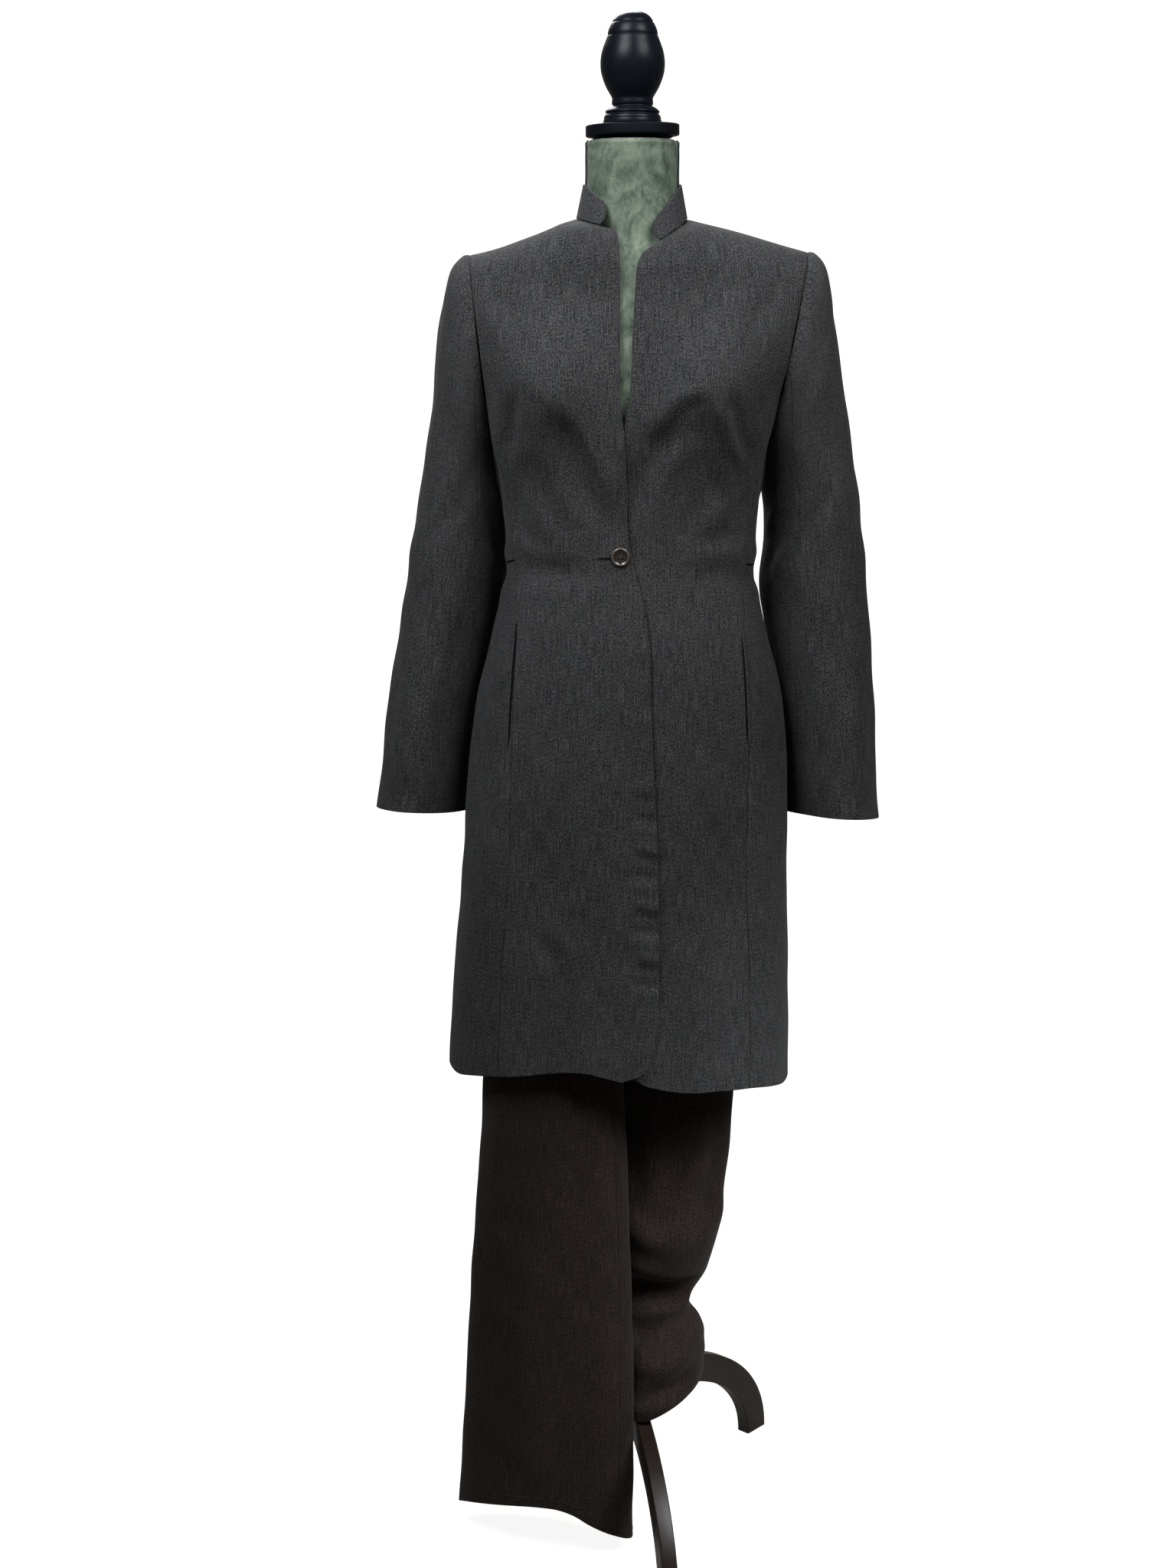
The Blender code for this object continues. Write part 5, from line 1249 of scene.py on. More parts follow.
def sleeve_panel(side, which):
    """Upper or under part of a sleeve, from the armhole to the cuff."""
    if which == "upper":
        steps = np.arange(-SLEEVE_SEAM_STEP - 1, SLEEVE_SEAM_STEP + 2)
    else:
        steps = np.arange(SLEEVE_SEAM_STEP - 1, RING_STEPS - SLEEVE_SEAM_STEP + 2)
    ring = np.linspace(0, len(RIGHT_SLEEVE["outer_x"]) - 1, SLEEVE_ROWS)[:, None]
    wide = sleeve_point(side, ring, arm_angle(steps[None, :]))
    towards_front = np.clip(np.sin(arm_angle(steps[None, :])), 0, 1)
    wide[..., 2] += CUFF_LIFT * towards_front ** 1.5 * fade(ring, 9.0, 10.0)
    lattice = framed(wide[:, 1:-1], first=wide[:, 0], last=wide[:, -1])
    middle = sleeve_point(side, ring[SLEEVE_ROWS // 2, 0], arm_angle(np.arange(RING_STEPS))).mean(axis=0)
    outer, inner = (RIGHT_SIDE, LEFT_SIDE) if side == "right" else (LEFT_SIDE, RIGHT_SIDE)
    views = ((*outer, SLEEVE_OUTER_FOLDS), (*inner, SLEEVE_INNER_FOLDS),
             (*FRONT, SLEEVE_FRONT_FOLDS), (*BACK, SLEEVE_FRONT_FOLDS))
    return cloth_panel("jacket_sleeve_" + which + "_" + side, lattice, middle, ("seam", "seam", "seam", "turned"),
                       views, JACKET_CLOTH, handled=0.0008,
                       extra=head_roll, pitch=0.0038)


for side in ("right", "left"):
    for which in ("upper", "under"):
        jacket["sleeve_" + which + "_" + side] = sleeve_panel(side, which)
print("sleeves:", {n: s for n, s in flat_sizes.items() if "sleeve" in n})

# %% [markdown]
# ## The stand collar
#
# The collar stands on the neckline and leans in a little. Its two front ends slope down and are
# rounded. It is cut across the cloth, so it shows flecks but no upright streaks.

# %% Collar
# Stand collar: it leans in from the neckline, and slopes down to its two front ends.
COLLAR_HEIGHT = 0.037
COLLAR_LEAN = 0.0075
COLLAR_END_DEG = {"right": -31.0, "left": 23.5}
COLLAR_END_DROP = 0.011
COLLAR_DROP_DEG = 50.0
COLLAR_LIFT = 0.0002
COLLAR_POINTS = 44


def stand_collar():
    """Ring of upright rows on the neckline; near each end the top row sinks and the end draws back."""
    start = math.radians(COLLAR_END_DEG["left"])
    end = math.radians(360.0 + COLLAR_END_DEG["right"])
    turn = np.linspace(start, end, COLLAR_POINTS + 1)
    from_end = np.minimum(turn - start, end - turn)
    drop = COLLAR_END_DROP * (1 - fade(from_end, 0.0, math.radians(COLLAR_DROP_DEG)))
    rows = []
    for share in (1.0, 0.8, 0.55, 0.28, 0.0):
        bent = turn + np.sign(math.pi - turn) * (1 - fade(from_end, 0, 0.35)) * 0.10 * (2 * share - 1) ** 2
        base = neckline_point(np.where(bent > math.pi, bent - 2 * math.pi, bent))
        base[:, 2] += COLLAR_LIFT + share * (COLLAR_HEIGHT - drop)
        base[:, :2] *= 1 - share * COLLAR_LEAN / NECK_HALF_WIDTH
        rows.append(base)
    return cloth_panel("jacket_collar", framed(np.array(rows)), (0.0, 0.0, NECK_SIDE_Z),
                       ("turned", "turned", "turned", "seam"), (), COLLAR_CLOTH,
                       handled=0.0004, pitch=0.0026)


jacket["collar"] = stand_collar()
print("collar as cut:", flat_sizes["jacket_collar"])

# %% [markdown]
# ## Things that lie on the cloth
#
# A buttonhole, a pocket slit or a row of stitches follows the finished surface, folds and all. So a
# line is drawn on the front view and pushed back on to the cloth, which gives points and normals. A
# section is then carried along those points.

# %% Lines on the cloth
def joined_surface(panels):
    """One search tree over the meshes of several panels."""
    places, faces, start = [], [], 0
    for panel in panels:
        mesh = panel["piece"].data
        flat = np.empty(3 * len(mesh.vertices))
        mesh.vertices.foreach_get("co", flat)
        corner = np.empty(len(mesh.loops), dtype=np.int64)
        mesh.loops.foreach_get("vertex_index", corner)
        places.append(flat.reshape(-1, 3))
        faces.append(corner.reshape(-1, 4) + start)
        start += len(mesh.vertices)
    return BVHTree.FromPolygons(np.concatenate(places).tolist(), np.concatenate(faces).tolist())


def on_cloth(surface, x, z):
    """Points and normals where straight lines from the front meet a surface, in the pole's frame."""
    hits = [surface.ray_cast(Vector((a + AXIS[0], -1.0, b)), Vector((0, 1, 0))) for a, b in zip(x, z)]
    points = np.array([hit[0] for hit in hits]) - AXIS
    return points, np.array([hit[1] for hit in hits])


def swept(name, points, normals, section, finish, size=None, closed=False):
    """A closed section carried along points. The section's columns are across and out.

    size scales the section at each point; the ends are closed with a face unless the path is.
    """
    if closed:
        ahead = np.roll(points, -1, axis=0) - np.roll(points, 1, axis=0)
    else:
        ahead = np.gradient(points, axis=0)
    ahead = ahead / np.linalg.norm(ahead, axis=-1, keepdims=True)
    side = np.cross(ahead, normals)
    side /= np.linalg.norm(side, axis=-1, keepdims=True)
    out = np.cross(side, ahead)
    size = np.ones(len(points)) if size is None else size
    grid = (points[:, None] + (side[:, None] * section[None, :, :1] + out[:, None] * section[None, :, 1:])
            * size[:, None, None])
    count = len(section)
    if closed:
        grid = np.concatenate((grid, grid[:1]))
        faces = grid_faces(len(points) + 1, count, around=True)
        faces = faces % (len(points) * count)
        grid = grid[:-1]
        ends = ()
    else:
        faces = grid_faces(len(points), count, around=True)
        last = (len(points) - 1) * count
        ends = (range(count), range(last + count - 1, last - 1, -1))
    walked = np.concatenate(([0], np.cumsum(np.linalg.norm(np.diff(points, axis=0), axis=-1))))
    round_section = np.linspace(0, 0.01, count)
    uv = np.stack(np.broadcast_arrays(walked[:, None], round_section[None, :]), axis=-1)
    return make_piece(name, grid, faces, finish, uv, ends)


def round_section(radius, count=8, squash=1.0):
    """Circle, or a flattened one, as a section."""
    turn = np.linspace(0, 2 * math.pi, count, endpoint=False)
    return np.stack((radius * np.cos(turn), radius * squash * np.sin(turn)), axis=-1)


def line_on(surface, line, count=26):
    """Smooth line through a table's points (x, z) on a surface."""
    share = np.linspace(0, len(line["x"]) - 1, count)
    index = np.arange(len(line["x"]), dtype=float)
    return on_cloth(surface, smooth_at(index, line["x"], share), smooth_at(index, line["z"], share))


JACKET_BODY = joined_surface([jacket[part + side] for part in ("front_", "side_") for side in ("right", "left")])
print("lines on the cloth ready")

# %% [markdown]
# ## Pocket slits and waist marks
#
# The pockets open in the front's long seams. Nothing stands out: each shows as a fine slit of painted shadow, with the
# edge of its front lip standing up a hair's breadth, and a bar of thread at its lower end. At the waist a short seam
# end shows by each side, also as painted shadow. The left pocket has a pulled thread below it.

# %% Pocket slits, tacks and waist marks
POCKETS = {
    "right": table("x z", (-0.1275, 1.103), (-0.1310, 1.060), (-0.1345, 1.010), (-0.1370, 0.966)),
    "left": table("x z", (0.1215, 1.088), (0.1250, 1.050), (0.1272, 1.010), (0.1292, 0.968)),
}
WAIST_MARKS = {
    "right": table("x z", (-0.1385, 1.1640), (-0.1345, 1.1665), (-0.1285, 1.1690)),
    "left": table("x z", (0.1275, 1.1650), (0.1325, 1.1630), (0.1380, 1.1625)),
}
PULLED_THREAD = table("x z", (0.1290, 0.968), (0.1345, 0.952), (0.1345, 0.938), (0.1375, 0.921), (0.1378, 0.905))
SLIT = np.array(((-0.0012, -0.0004), (0.0012, -0.0004), (0.0012, 0.00036), (-0.0012, 0.00036)))
LIP = np.array(((0.0, -0.0004), (0.0006, 0.0003), (0.0008, 0.0010), (0.0017, 0.0013), (0.0036, 0.0006),
                (0.0060, -0.0004)))


def pocket(side):
    """Slit of painted shadow, raised front lip and a bar tack at the lower end."""
    sign = -1.0 if side == "right" else 1.0
    points, normals = line_on(JACKET_BODY, POCKETS[side], 40)
    taper = np.sqrt(np.clip(np.minimum(np.arange(40), np.arange(39, -1, -1)) / 5.0, 0.08, 1))
    open_side = SLIT + np.array((0.0008 * sign, 0.0))
    # The slit is a near-black strip of painted shadow in the opening.
    swept("pocket_slit_shadow_" + side, points, normals, open_side, PAINTED_SLIT_SHADOW, taper)
    lip = LIP * np.array((-sign, 1.0))
    lip = lip[::-1] if sign > 0 else lip
    swept("pocket_lip_" + side, points, normals, lip, JACKET_CLOTH, taper)
    low_x, low_z = POCKETS[side]["x"][-1], POCKETS[side]["z"][-1]
    bar, bar_normals = on_cloth(JACKET_BODY, low_x + np.linspace(-0.0032, 0.0032, 7), low_z - np.linspace(0.001, -0.001, 7))
    swept("pocket_tack_" + side, bar, bar_normals, round_section(0.00065), THREAD)


def waist_mark(side):
    """End of a short waist seam: a strip of painted shadow that thins out."""
    points, normals = line_on(JACKET_BODY, WAIST_MARKS[side], 12)
    thin = np.linspace(1.0, 0.5, 12)
    # The seam end is a near-black strip of painted shadow.
    swept("waist_seam_shadow_" + side, points, normals, SLIT * 1.2, PAINTED_SLIT_SHADOW, thin)


for side in ("right", "left"):
    pocket(side)
    waist_mark(side)
pull, pull_normals = line_on(JACKET_BODY, PULLED_THREAD, 24)
swept("pulled_thread", pull + pull_normals * 0.0003, pull_normals, round_section(0.00022, 6), THREAD)
print("pocket slits are", round(float(np.ptp(POCKETS["right"]["z"])), 3), "m long")

# %% [markdown]
# ## Buttonhole and button
#
# The buttonhole is worked in thread: a ridge of close stitches round a slit. The button is horn. It is
# turned, so its profile is a curve carried round its axis: a dished middle inside a rounded rim. Four
# holes are cut through it, and thread crosses between them.

# %% Buttonhole
BUTTON_PLACE = (-0.0130, 1.1780)
HOLE_X = (-0.0395, -0.0150)
HOLE_Z = 1.1762
PURL_COUNT = 44


def buttonhole():
    """Long loop of thread round a slit of painted shadow; the loop is two lines joined by half circles."""
    turn = np.linspace(0, 2 * math.pi, PURL_COUNT, endpoint=False)
    middle, half = sum(HOLE_X) / 2, (HOLE_X[1] - HOLE_X[0]) / 2
    x = middle + half * np.sign(np.cos(turn)) * np.abs(np.cos(turn)) ** 0.5
    z = HOLE_Z + 0.0017 * np.sign(np.sin(turn)) * np.abs(np.sin(turn)) ** 0.7
    points, normals = on_cloth(JACKET_BODY, x, z)
    beads = 1 + 0.18 * np.cos(np.arange(PURL_COUNT) * math.pi)
    swept("buttonhole_purl", points, normals, round_section(0.00055), THREAD, beads, closed=True)
    line = np.linspace(HOLE_X[0] + 0.001, HOLE_X[1] - 0.001, 16)
    # The slit is a near-black strip of painted shadow in the cut.
    slit, slit_normals = on_cloth(JACKET_BODY, line, np.full(16, HOLE_Z))
    swept("buttonhole_slit_shadow", slit, slit_normals, SLIT * 1.1, PAINTED_SLIT_SHADOW)


buttonhole()
print("buttonhole is", round((HOLE_X[1] - HOLE_X[0]) * 1000, 1), "mm long")

# %% Button
BUTTON_FACE = table(
    "radius out",
    (0.0000, 0.0014), (0.0038, 0.0014), (0.0060, 0.0015), (0.0070, 0.0018), (0.0077, 0.0025), (0.0086, 0.0030),
    (0.0095, 0.0028), (0.0101, 0.0021), (0.0103, 0.0012), (0.0098, 0.0004), (0.0080, 0.0000), (0.0000, 0.0000))
BUTTON_HOLE_RADIUS = 0.00105
BUTTON_HOLE_SPREAD = 0.0021
BUTTON_SHANK = 0.0010


def turned_points(profile, steps):
    """Profile (radius, height) carried round the axis as a grid of rows and columns."""
    turn = np.linspace(0, 2 * math.pi, steps, endpoint=False)
    radius, height = profile[:, :1], profile[:, 1:]
    return np.stack((radius * np.cos(turn), radius * np.sin(turn), height + 0 * turn), axis=-1)


def fine_profile(radius, height, count):
    """Smooth profile through its table, at even steps of its length."""
    walked = np.concatenate(([0], np.cumsum(np.hypot(np.diff(radius), np.diff(height)))))
    at = np.linspace(0, walked[-1], count)
    return np.stack((np.maximum(smooth_at(walked, radius, at), 0), smooth_at(walked, height, at)), axis=-1)


def turned_piece(name, profile, steps, finish, turn_to=None):
    """Closed turned solid: rings from the first to the last row, and a point at each end."""
    rings = turned_points(profile[1:-1], steps)
    ends = np.array(((0, 0, profile[0, 1]), (0, 0, profile[-1, 1])))
    points = np.concatenate((rings.reshape(-1, 3), ends))
    count = len(rings) * steps
    first, last = np.arange(steps), np.arange(steps) + count - steps
    caps = np.concatenate((np.stack((np.full(steps, count), first, np.roll(first, -1)), axis=-1),
                           np.stack((np.full(steps, count + 1), np.roll(last, -1), last), axis=-1)))
    faces = grid_faces(len(rings), steps, around=True).tolist() + caps.tolist()
    around = np.arctan2(points[:, 1], points[:, 0]) * 0.03
    uv = np.stack((points[:, 2], around), axis=-1)
    if turn_to is not None:
        points = turn_to(points)
    made = make_piece(name, points, np.array([]).reshape(0, 4), finish, None, faces)
    corner = np.empty(len(made.data.loops), dtype=np.int64)
    made.data.loops.foreach_get("vertex_index", corner)
    layer = made.data.uv_layers.new(name="cut")
    layer.data.foreach_set("uv", uv[corner].ravel().astype(np.float32))
    return made


def bored(made, centres, radius, depth):
    """The piece with round holes cut through it along Y at these centres."""
    for x, y, z in centres:
        bpy.ops.mesh.primitive_cylinder_add(vertices=20, radius=radius, depth=depth, location=(x, y, z),
                                            rotation=(math.pi / 2, 0, 0))
        drill = bpy.context.object
        cut = made.modifiers.new("hole", "BOOLEAN")
        cut.object, cut.solver = drill, "EXACT"
        graph = bpy.context.evaluated_depsgraph_get()
        graph.update()
        mesh = bpy.data.meshes.new_from_object(made.evaluated_get(graph))
        made.modifiers.clear()
        made.data = mesh
        bpy.data.objects.remove(drill, do_unlink=True)
    return made


def button():
    """Horn button whose axis points forward, its rim a paler ring of painted highlight."""
    seat, seat_normal = on_cloth(JACKET_BODY, [BUTTON_PLACE[0]], [BUTTON_PLACE[1]])
    back = float(seat[0, 1]) - BUTTON_SHANK

    def facing_front(points):
        return np.stack((points[:, 0] + BUTTON_PLACE[0], back - points[:, 2], points[:, 1] + BUTTON_PLACE[1]), axis=-1)

    profile = fine_profile(BUTTON_FACE["radius"], BUTTON_FACE["out"], 46)
    profile[0, 0] = profile[-1, 0] = 0.0
    made = turned_piece("jacket_button", profile, 64, HORN, facing_front)
    spread = BUTTON_HOLE_SPREAD
    centres = [(AXIS[0] + BUTTON_PLACE[0] + a * spread, AXIS[1] + back - 0.001, BUTTON_PLACE[1] + b * spread)
               for a in (-1, 1) for b in (-1, 1)]
    bored(made, centres, BUTTON_HOLE_RADIUS, 0.01)
    # Faces out on the rim take the paler horn, the rim's painted highlight.
    made.data.materials.append(HORN_RIM_HIGHLIGHT)
    for face in made.data.polygons:
        away = math.hypot(face.center[0] - AXIS[0] - BUTTON_PLACE[0], face.center[2] - BUTTON_PLACE[1])
        face.material_index = int(away > 0.0074)
    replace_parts(made, "jacket_button")
    for number, a in enumerate((-1, 1)):
        share = np.linspace(-1, 1, 13)
        points = np.stack((np.full(13, BUTTON_PLACE[0]) + a * spread * share,
                           back - 0.0005 - 0.0016 * np.sqrt(1 - share ** 2 * 0.98),
                           BUTTON_PLACE[1] + spread * share), axis=-1)
        out = np.tile((0.0, -1.0, 0.0), (13, 1))
        swept("button_thread_%d" % number, points, out, round_section(0.00055, 8, 0.8), THREAD)


button()
print("button:", round(BUTTON_FACE["radius"].max() * 2000, 1), "mm across")

# %% [markdown]
# ## The trousers
#
# Down to the fork the two halves share one section, which the centre seam cuts. Below it each leg is
# a tube of turned ellipses. The wearer's right leg hangs free in front of the stand, turned so that
# its inner seam shows. The left leg hangs round the pole: it is caught on the stand, so it buckles
# above the foot and its hem rides up.

# %% Trouser sections
# Trousers, waist to fork: outer is the half width, reach the half width of one leg's ellipse,
# which the centre seam cuts, and seam the centre seam's x. The pole hangs inside the left leg.
TROUSER_TOP = table(
    "height outer_right outer_left reach_right reach_left seam front back power",
    (1.068, 0.1405, 0.1420, 0.1405, 0.1420, 0.0000, 0.099, 0.093, 2.30),
    (1.000, 0.1650, 0.1635, 0.1650, 0.1635, 0.0000, 0.110, 0.110, 2.35),
    (0.950, 0.1725, 0.1690, 0.1695, 0.1690, -0.003, 0.114, 0.1195, 2.35),
    (0.870, 0.1750, 0.1700, 0.1600, 0.1640, -0.012, 0.113, 0.1195, 2.35),
    (0.850, 0.1750, 0.1700, 0.1280, 0.1460, -0.024, 0.110, 0.116, 2.2),
    (0.832, 0.1745, 0.1705, 0.0950, 0.1200, -0.031, 0.105, 0.111, 2.1),
    (0.818, 0.1740, 0.1710, 0.0705, 0.1025, -0.033, 0.101, 0.105, 2.0),
)
HIP_HEIGHTS = (1.066, 1.030, 0.990, 0.950, 0.910, 0.872, 0.854, 0.838, 0.826)
# Each leg below the fork: its ellipse's side points, middle, half depth and turn.
RIGHT_LEG = table(
    "height outer inner middle_y half_depth turn",
    (0.818, -0.1740, -0.0345, 0.000, 0.102, 0),
    (0.780, -0.1730, -0.0345, -0.012, 0.083, -2),
    (0.740, -0.1715, -0.0300, -0.030, 0.068, -4),
    (0.660, -0.1710, -0.0150, -0.044, 0.058, -6),
    (0.565, -0.1710, -0.0070, -0.052, 0.053, -8),
    (0.460, -0.1775, -0.0010, -0.058, 0.049, -10),
    (0.340, -0.1870, 0.0040, -0.064, 0.046, -13),
    (0.170, -0.2000, 0.0100, -0.074, 0.044, -18),
    (0.000, -0.2125, 0.0110, -0.078, 0.044, -21),
)
# A hem's turn runs from the outer seam over the front, in degrees.
RIGHT_LEG_HEM = table("turn height", (0, 0.0213), (45, 0.041), (90, 0.0570), (112, 0.0565), (135, 0.0372),
                      (160, 0.0235), (180, 0.0174), (270, 0.0220), (360, 0.0213))
LEFT_LEG = table(
    "height outer inner middle_y half_depth turn",
    (0.818, 0.1710, -0.0315, 0.000, 0.102, 0),
    (0.780, 0.1620, -0.0315, 0.007, 0.083, 0),
    (0.740, 0.1540, -0.0320, 0.014, 0.072, 0),
    (0.660, 0.1410, -0.0330, 0.021, 0.061, 0),
    (0.550, 0.1285, -0.0330, 0.024, 0.053, 0),
    (0.450, 0.1205, -0.0320, 0.017, 0.050, 2),
    (0.405, 0.1145, -0.0310, 0.004, 0.054, 3),
    (0.370, 0.1095, -0.0300, -0.009, 0.059, 4),
    (0.338, 0.1020, -0.0290, -0.007, 0.056, 4),
    (0.300, 0.0905, -0.0280, 0.008, 0.049, 4),
    (0.264, 0.0775, -0.0265, 0.001, 0.052, 3),
    (0.236, 0.0885, -0.0250, -0.014, 0.069, 2),
    (0.213, 0.0935, -0.0235, -0.020, 0.075, 0),
    (0.186, 0.0895, -0.0205, -0.026, 0.080, -3),
    (0.150, 0.0740, -0.0190, -0.027, 0.083, -5),
)
RIGHT_LEG_HEIGHTS = (0.810, 0.790, 0.760, 0.710, 0.640, 0.550, 0.450, 0.350, 0.250, 0.170, 0.100)
LEFT_LEG_HEIGHTS = (0.810, 0.790, 0.760, 0.710, 0.640, 0.550, 0.450, 0.405, 0.370, 0.338, 0.300, 0.264,
                    0.236, 0.213)
# The left leg's hem hangs just clear of the stand's front leg, and rises to the outside.
LEFT_LEG_HEM = table("turn height", (0, 0.190), (30, 0.187), (60, 0.178), (80, 0.168), (100, 0.160), (120, 0.160),
                     (150, 0.168), (180, 0.176), (270, 0.182), (360, 0.190))
INSEAM_SWING_DEG = {"right": 27.0, "left": 0.0}   # the free leg's inner seam has come round to the front


def trouser_top_row(side, height, half, columns):
    """Row of a trouser panel above the fork, from the outer seam to the centre seam.

    One point more on either side belongs to the panels beyond the two seams.
    """
    read = {name: float(smooth_at(TROUSER_TOP["height"], values, np.array(height)))
            for name, values in TROUSER_TOP.items()}
    sign = -1.0 if side == "right" else 1.0
    outer, reach, power = read["outer_" + side], read["reach_" + side], read["power"]
    middle = sign * (outer - reach)
    cut = np.clip(-sign * (read["seam"] - middle) / reach, -1.0, 1.0)
    last = math.pi - math.acos(np.sign(cut) * abs(cut) ** (power / 2))
    turn = np.linspace(0.0, last, columns + 1)
    turn = np.append(-turn[1], turn)
    depth = -read["front"] if half == "front" else read["back"]
    c, s = np.cos(turn), np.sin(turn)
    row = np.stack((middle + sign * reach * np.sign(c) * np.abs(c) ** (2 / power),
                    depth * np.sign(s) * np.abs(s) ** (2 / power), np.full(len(turn), height)), axis=-1)
    over = row[-2] * np.array((-1.0, 1.0, 1.0)) + np.array((2 * row[-1][0], 0.0, 0.0))
    return np.concatenate((row, over[None]))


def leg_point(side, height, turn):
    """Point of a leg's tube; the angle runs from the outer seam, positive over the front."""
    rows = RIGHT_LEG if side == "right" else LEFT_LEG
    height, turn = np.broadcast_arrays(np.asarray(height, float), np.asarray(turn, float))
    read = {name: smooth_at(rows["height"], values, height) for name, values in rows.items()}
    across = (read["outer"] - read["inner"]) / 2 * np.cos(turn)
    along = -read["half_depth"] * np.sin(turn)
    twist = np.radians(read["turn"])
    x = (read["outer"] + read["inner"]) / 2 + across * np.cos(twist) - along * np.sin(twist)
    y = read["middle_y"] + across * np.sin(twist) + along * np.cos(twist)
    return np.stack((x, y, height), axis=-1)


def swung(side, height, turn):
    """Angles with the inner seam's moved towards the front by the swing; the outer seam's stays.

    The shift grows as half of one less the cosine, and it fades in below the fork.
    """
    swing = math.radians(INSEAM_SWING_DEG[side]) * fade(height, 0.80, 0.60)
    return turn - swing * (1 - np.cos(turn)) / 2


print("outseam is about", round(1.104 - float(RIGHT_LEG_HEM["height"][0]), 3), "m")

# %% [markdown]
# The free leg is almost plain, with one soft line down its front and a few long hollows. The caught
# leg carries the deepest folds of the whole suit. They run across it where it buckles, each from one
# side to the other with a bow, and they are matched on the back.

# %% Trouser folds, and cutting the legs
FREE_LEG_FOLDS = table(
    FOLD_COLUMNS,
    (-0.146, 0.600, -0.152, 0.300, 0.003, 0.0110, 0.0016),
    (-0.060, 0.640, -0.070, 0.330, -0.006, 0.0170, -0.0020),
    (-0.110, 0.420, -0.124, 0.080, 0.006, 0.0160, 0.0021),
    (-0.030, 0.400, -0.040, 0.060, -0.004, 0.0140, 0.0018),
    (-0.074, 0.260, -0.086, 0.060, 0.004, 0.0130, -0.0016),
    (-0.020, 0.560, -0.012, 0.400, 0.003, 0.0100, -0.0014),
)
CAUGHT_LEG_FOLDS = table(
    FOLD_COLUMNS,
    (0.020, 0.530, 0.046, 0.390, 0.008, 0.0140, 0.0034),
    (0.106, 0.520, 0.078, 0.350, -0.008, 0.0130, -0.0036),
    (0.088, 0.470, 0.046, 0.340, 0.006, 0.0120, 0.0038),
    (-0.008, 0.396, 0.050, 0.366, 0.006, 0.0150, 0.0048),
    (-0.012, 0.340, 0.090, 0.318, 0.006, 0.0115, 0.0052),
    (-0.014, 0.306, 0.086, 0.288, 0.004, 0.0120, -0.0080),
    (-0.008, 0.268, 0.090, 0.284, 0.008, 0.0110, 0.0078),
    (-0.004, 0.244, 0.076, 0.268, -0.005, 0.0070, -0.0078),
    (0.000, 0.220, 0.092, 0.242, 0.008, 0.0120, 0.0066),
    (-0.002, 0.184, 0.080, 0.214, 0.004, 0.0075, -0.0070),
    (0.000, 0.168, 0.066, 0.186, 0.002, 0.0085, 0.0028),
)
CAUGHT_SIDE_FOLDS = table(
    FOLD_COLUMNS,
    (-0.030, 0.480, 0.010, 0.350, 0.008, 0.0130, 0.0022),
    (0.050, 0.500, 0.020, 0.350, -0.008, 0.0120, -0.0020),
    (-0.050, 0.328, 0.050, 0.300, 0.006, 0.0150, 0.0026),
    (-0.062, 0.290, 0.050, 0.262, 0.004, 0.0120, -0.0048),
    (-0.070, 0.256, 0.044, 0.226, 0.008, 0.0160, 0.0040),
    (-0.080, 0.228, 0.000, 0.222, -0.006, 0.0080, -0.0024),
)
LEG_LATTICE = 14


def leg_panel(side, half):
    """Front or back of one leg, from the waistband's seam to the hem."""
    half_sign = 1 if half == "front" else -1
    turn = half_sign * np.arange(-1, LEG_LATTICE + 2) * math.pi / LEG_LATTICE
    rows = [trouser_top_row(side, height, half, LEG_LATTICE) for height in HIP_HEIGHTS]
    heights, hem = (RIGHT_LEG_HEIGHTS, RIGHT_LEG_HEM) if side == "right" else (LEFT_LEG_HEIGHTS, LEFT_LEG_HEM)
    rows += [leg_point(side, height, swung(side, height, turn)) for height in heights]
    last = swung(side, 0.0, turn)
    rows.append(leg_point(side, smooth_at(hem["turn"], hem["height"], np.degrees(last) % 360.0), last))
    wide = np.array(rows)
    lattice = framed(wide[:, 1:-1], first=wide[:, 0], last=wide[:, -1])
    inside = wide[len(rows) // 2, 1:-1].mean(axis=0) + np.array((0.0, 0.05 * half_sign, 0.0))
    if side == "right":
        views = ((*FRONT, FREE_LEG_FOLDS), (*BACK, FREE_LEG_FOLDS))
    else:
        views = ((*FRONT, CAUGHT_LEG_FOLDS), (*BACK, CAUGHT_LEG_FOLDS), (*LEFT_SIDE, CAUGHT_SIDE_FOLDS),
                 (*RIGHT_SIDE, CAUGHT_SIDE_FOLDS))
    return cloth_panel("trouser_" + half + "_" + side, lattice, inside, ("seam", "seam", "seam", "turned"),
                       views, TROUSER_CLOTH, handled=0.0006)


trousers = {half + "_" + side: leg_panel(side, half) for side in ("right", "left") for half in ("front", "back")}
print("trouser panels:", {n: s for n, s in flat_sizes.items() if "trouser" in n})

# %% [markdown]
# ### Hem stitches and waistband
#
# The hems are turned up and stitched by machine. Each stitch is a tiny capsule of thread that lies
# on the cloth in line with its row. All stitches of a row are one mesh: one capsule's points, turned
# and moved for every place at once.

# %% Hem stitches and waistband
STITCH_PITCH = 0.0034
STITCH_LENGTH = 0.0022
STITCH_RADIUS = 0.00030
HEM_STITCH_HEIGHT = 0.0115


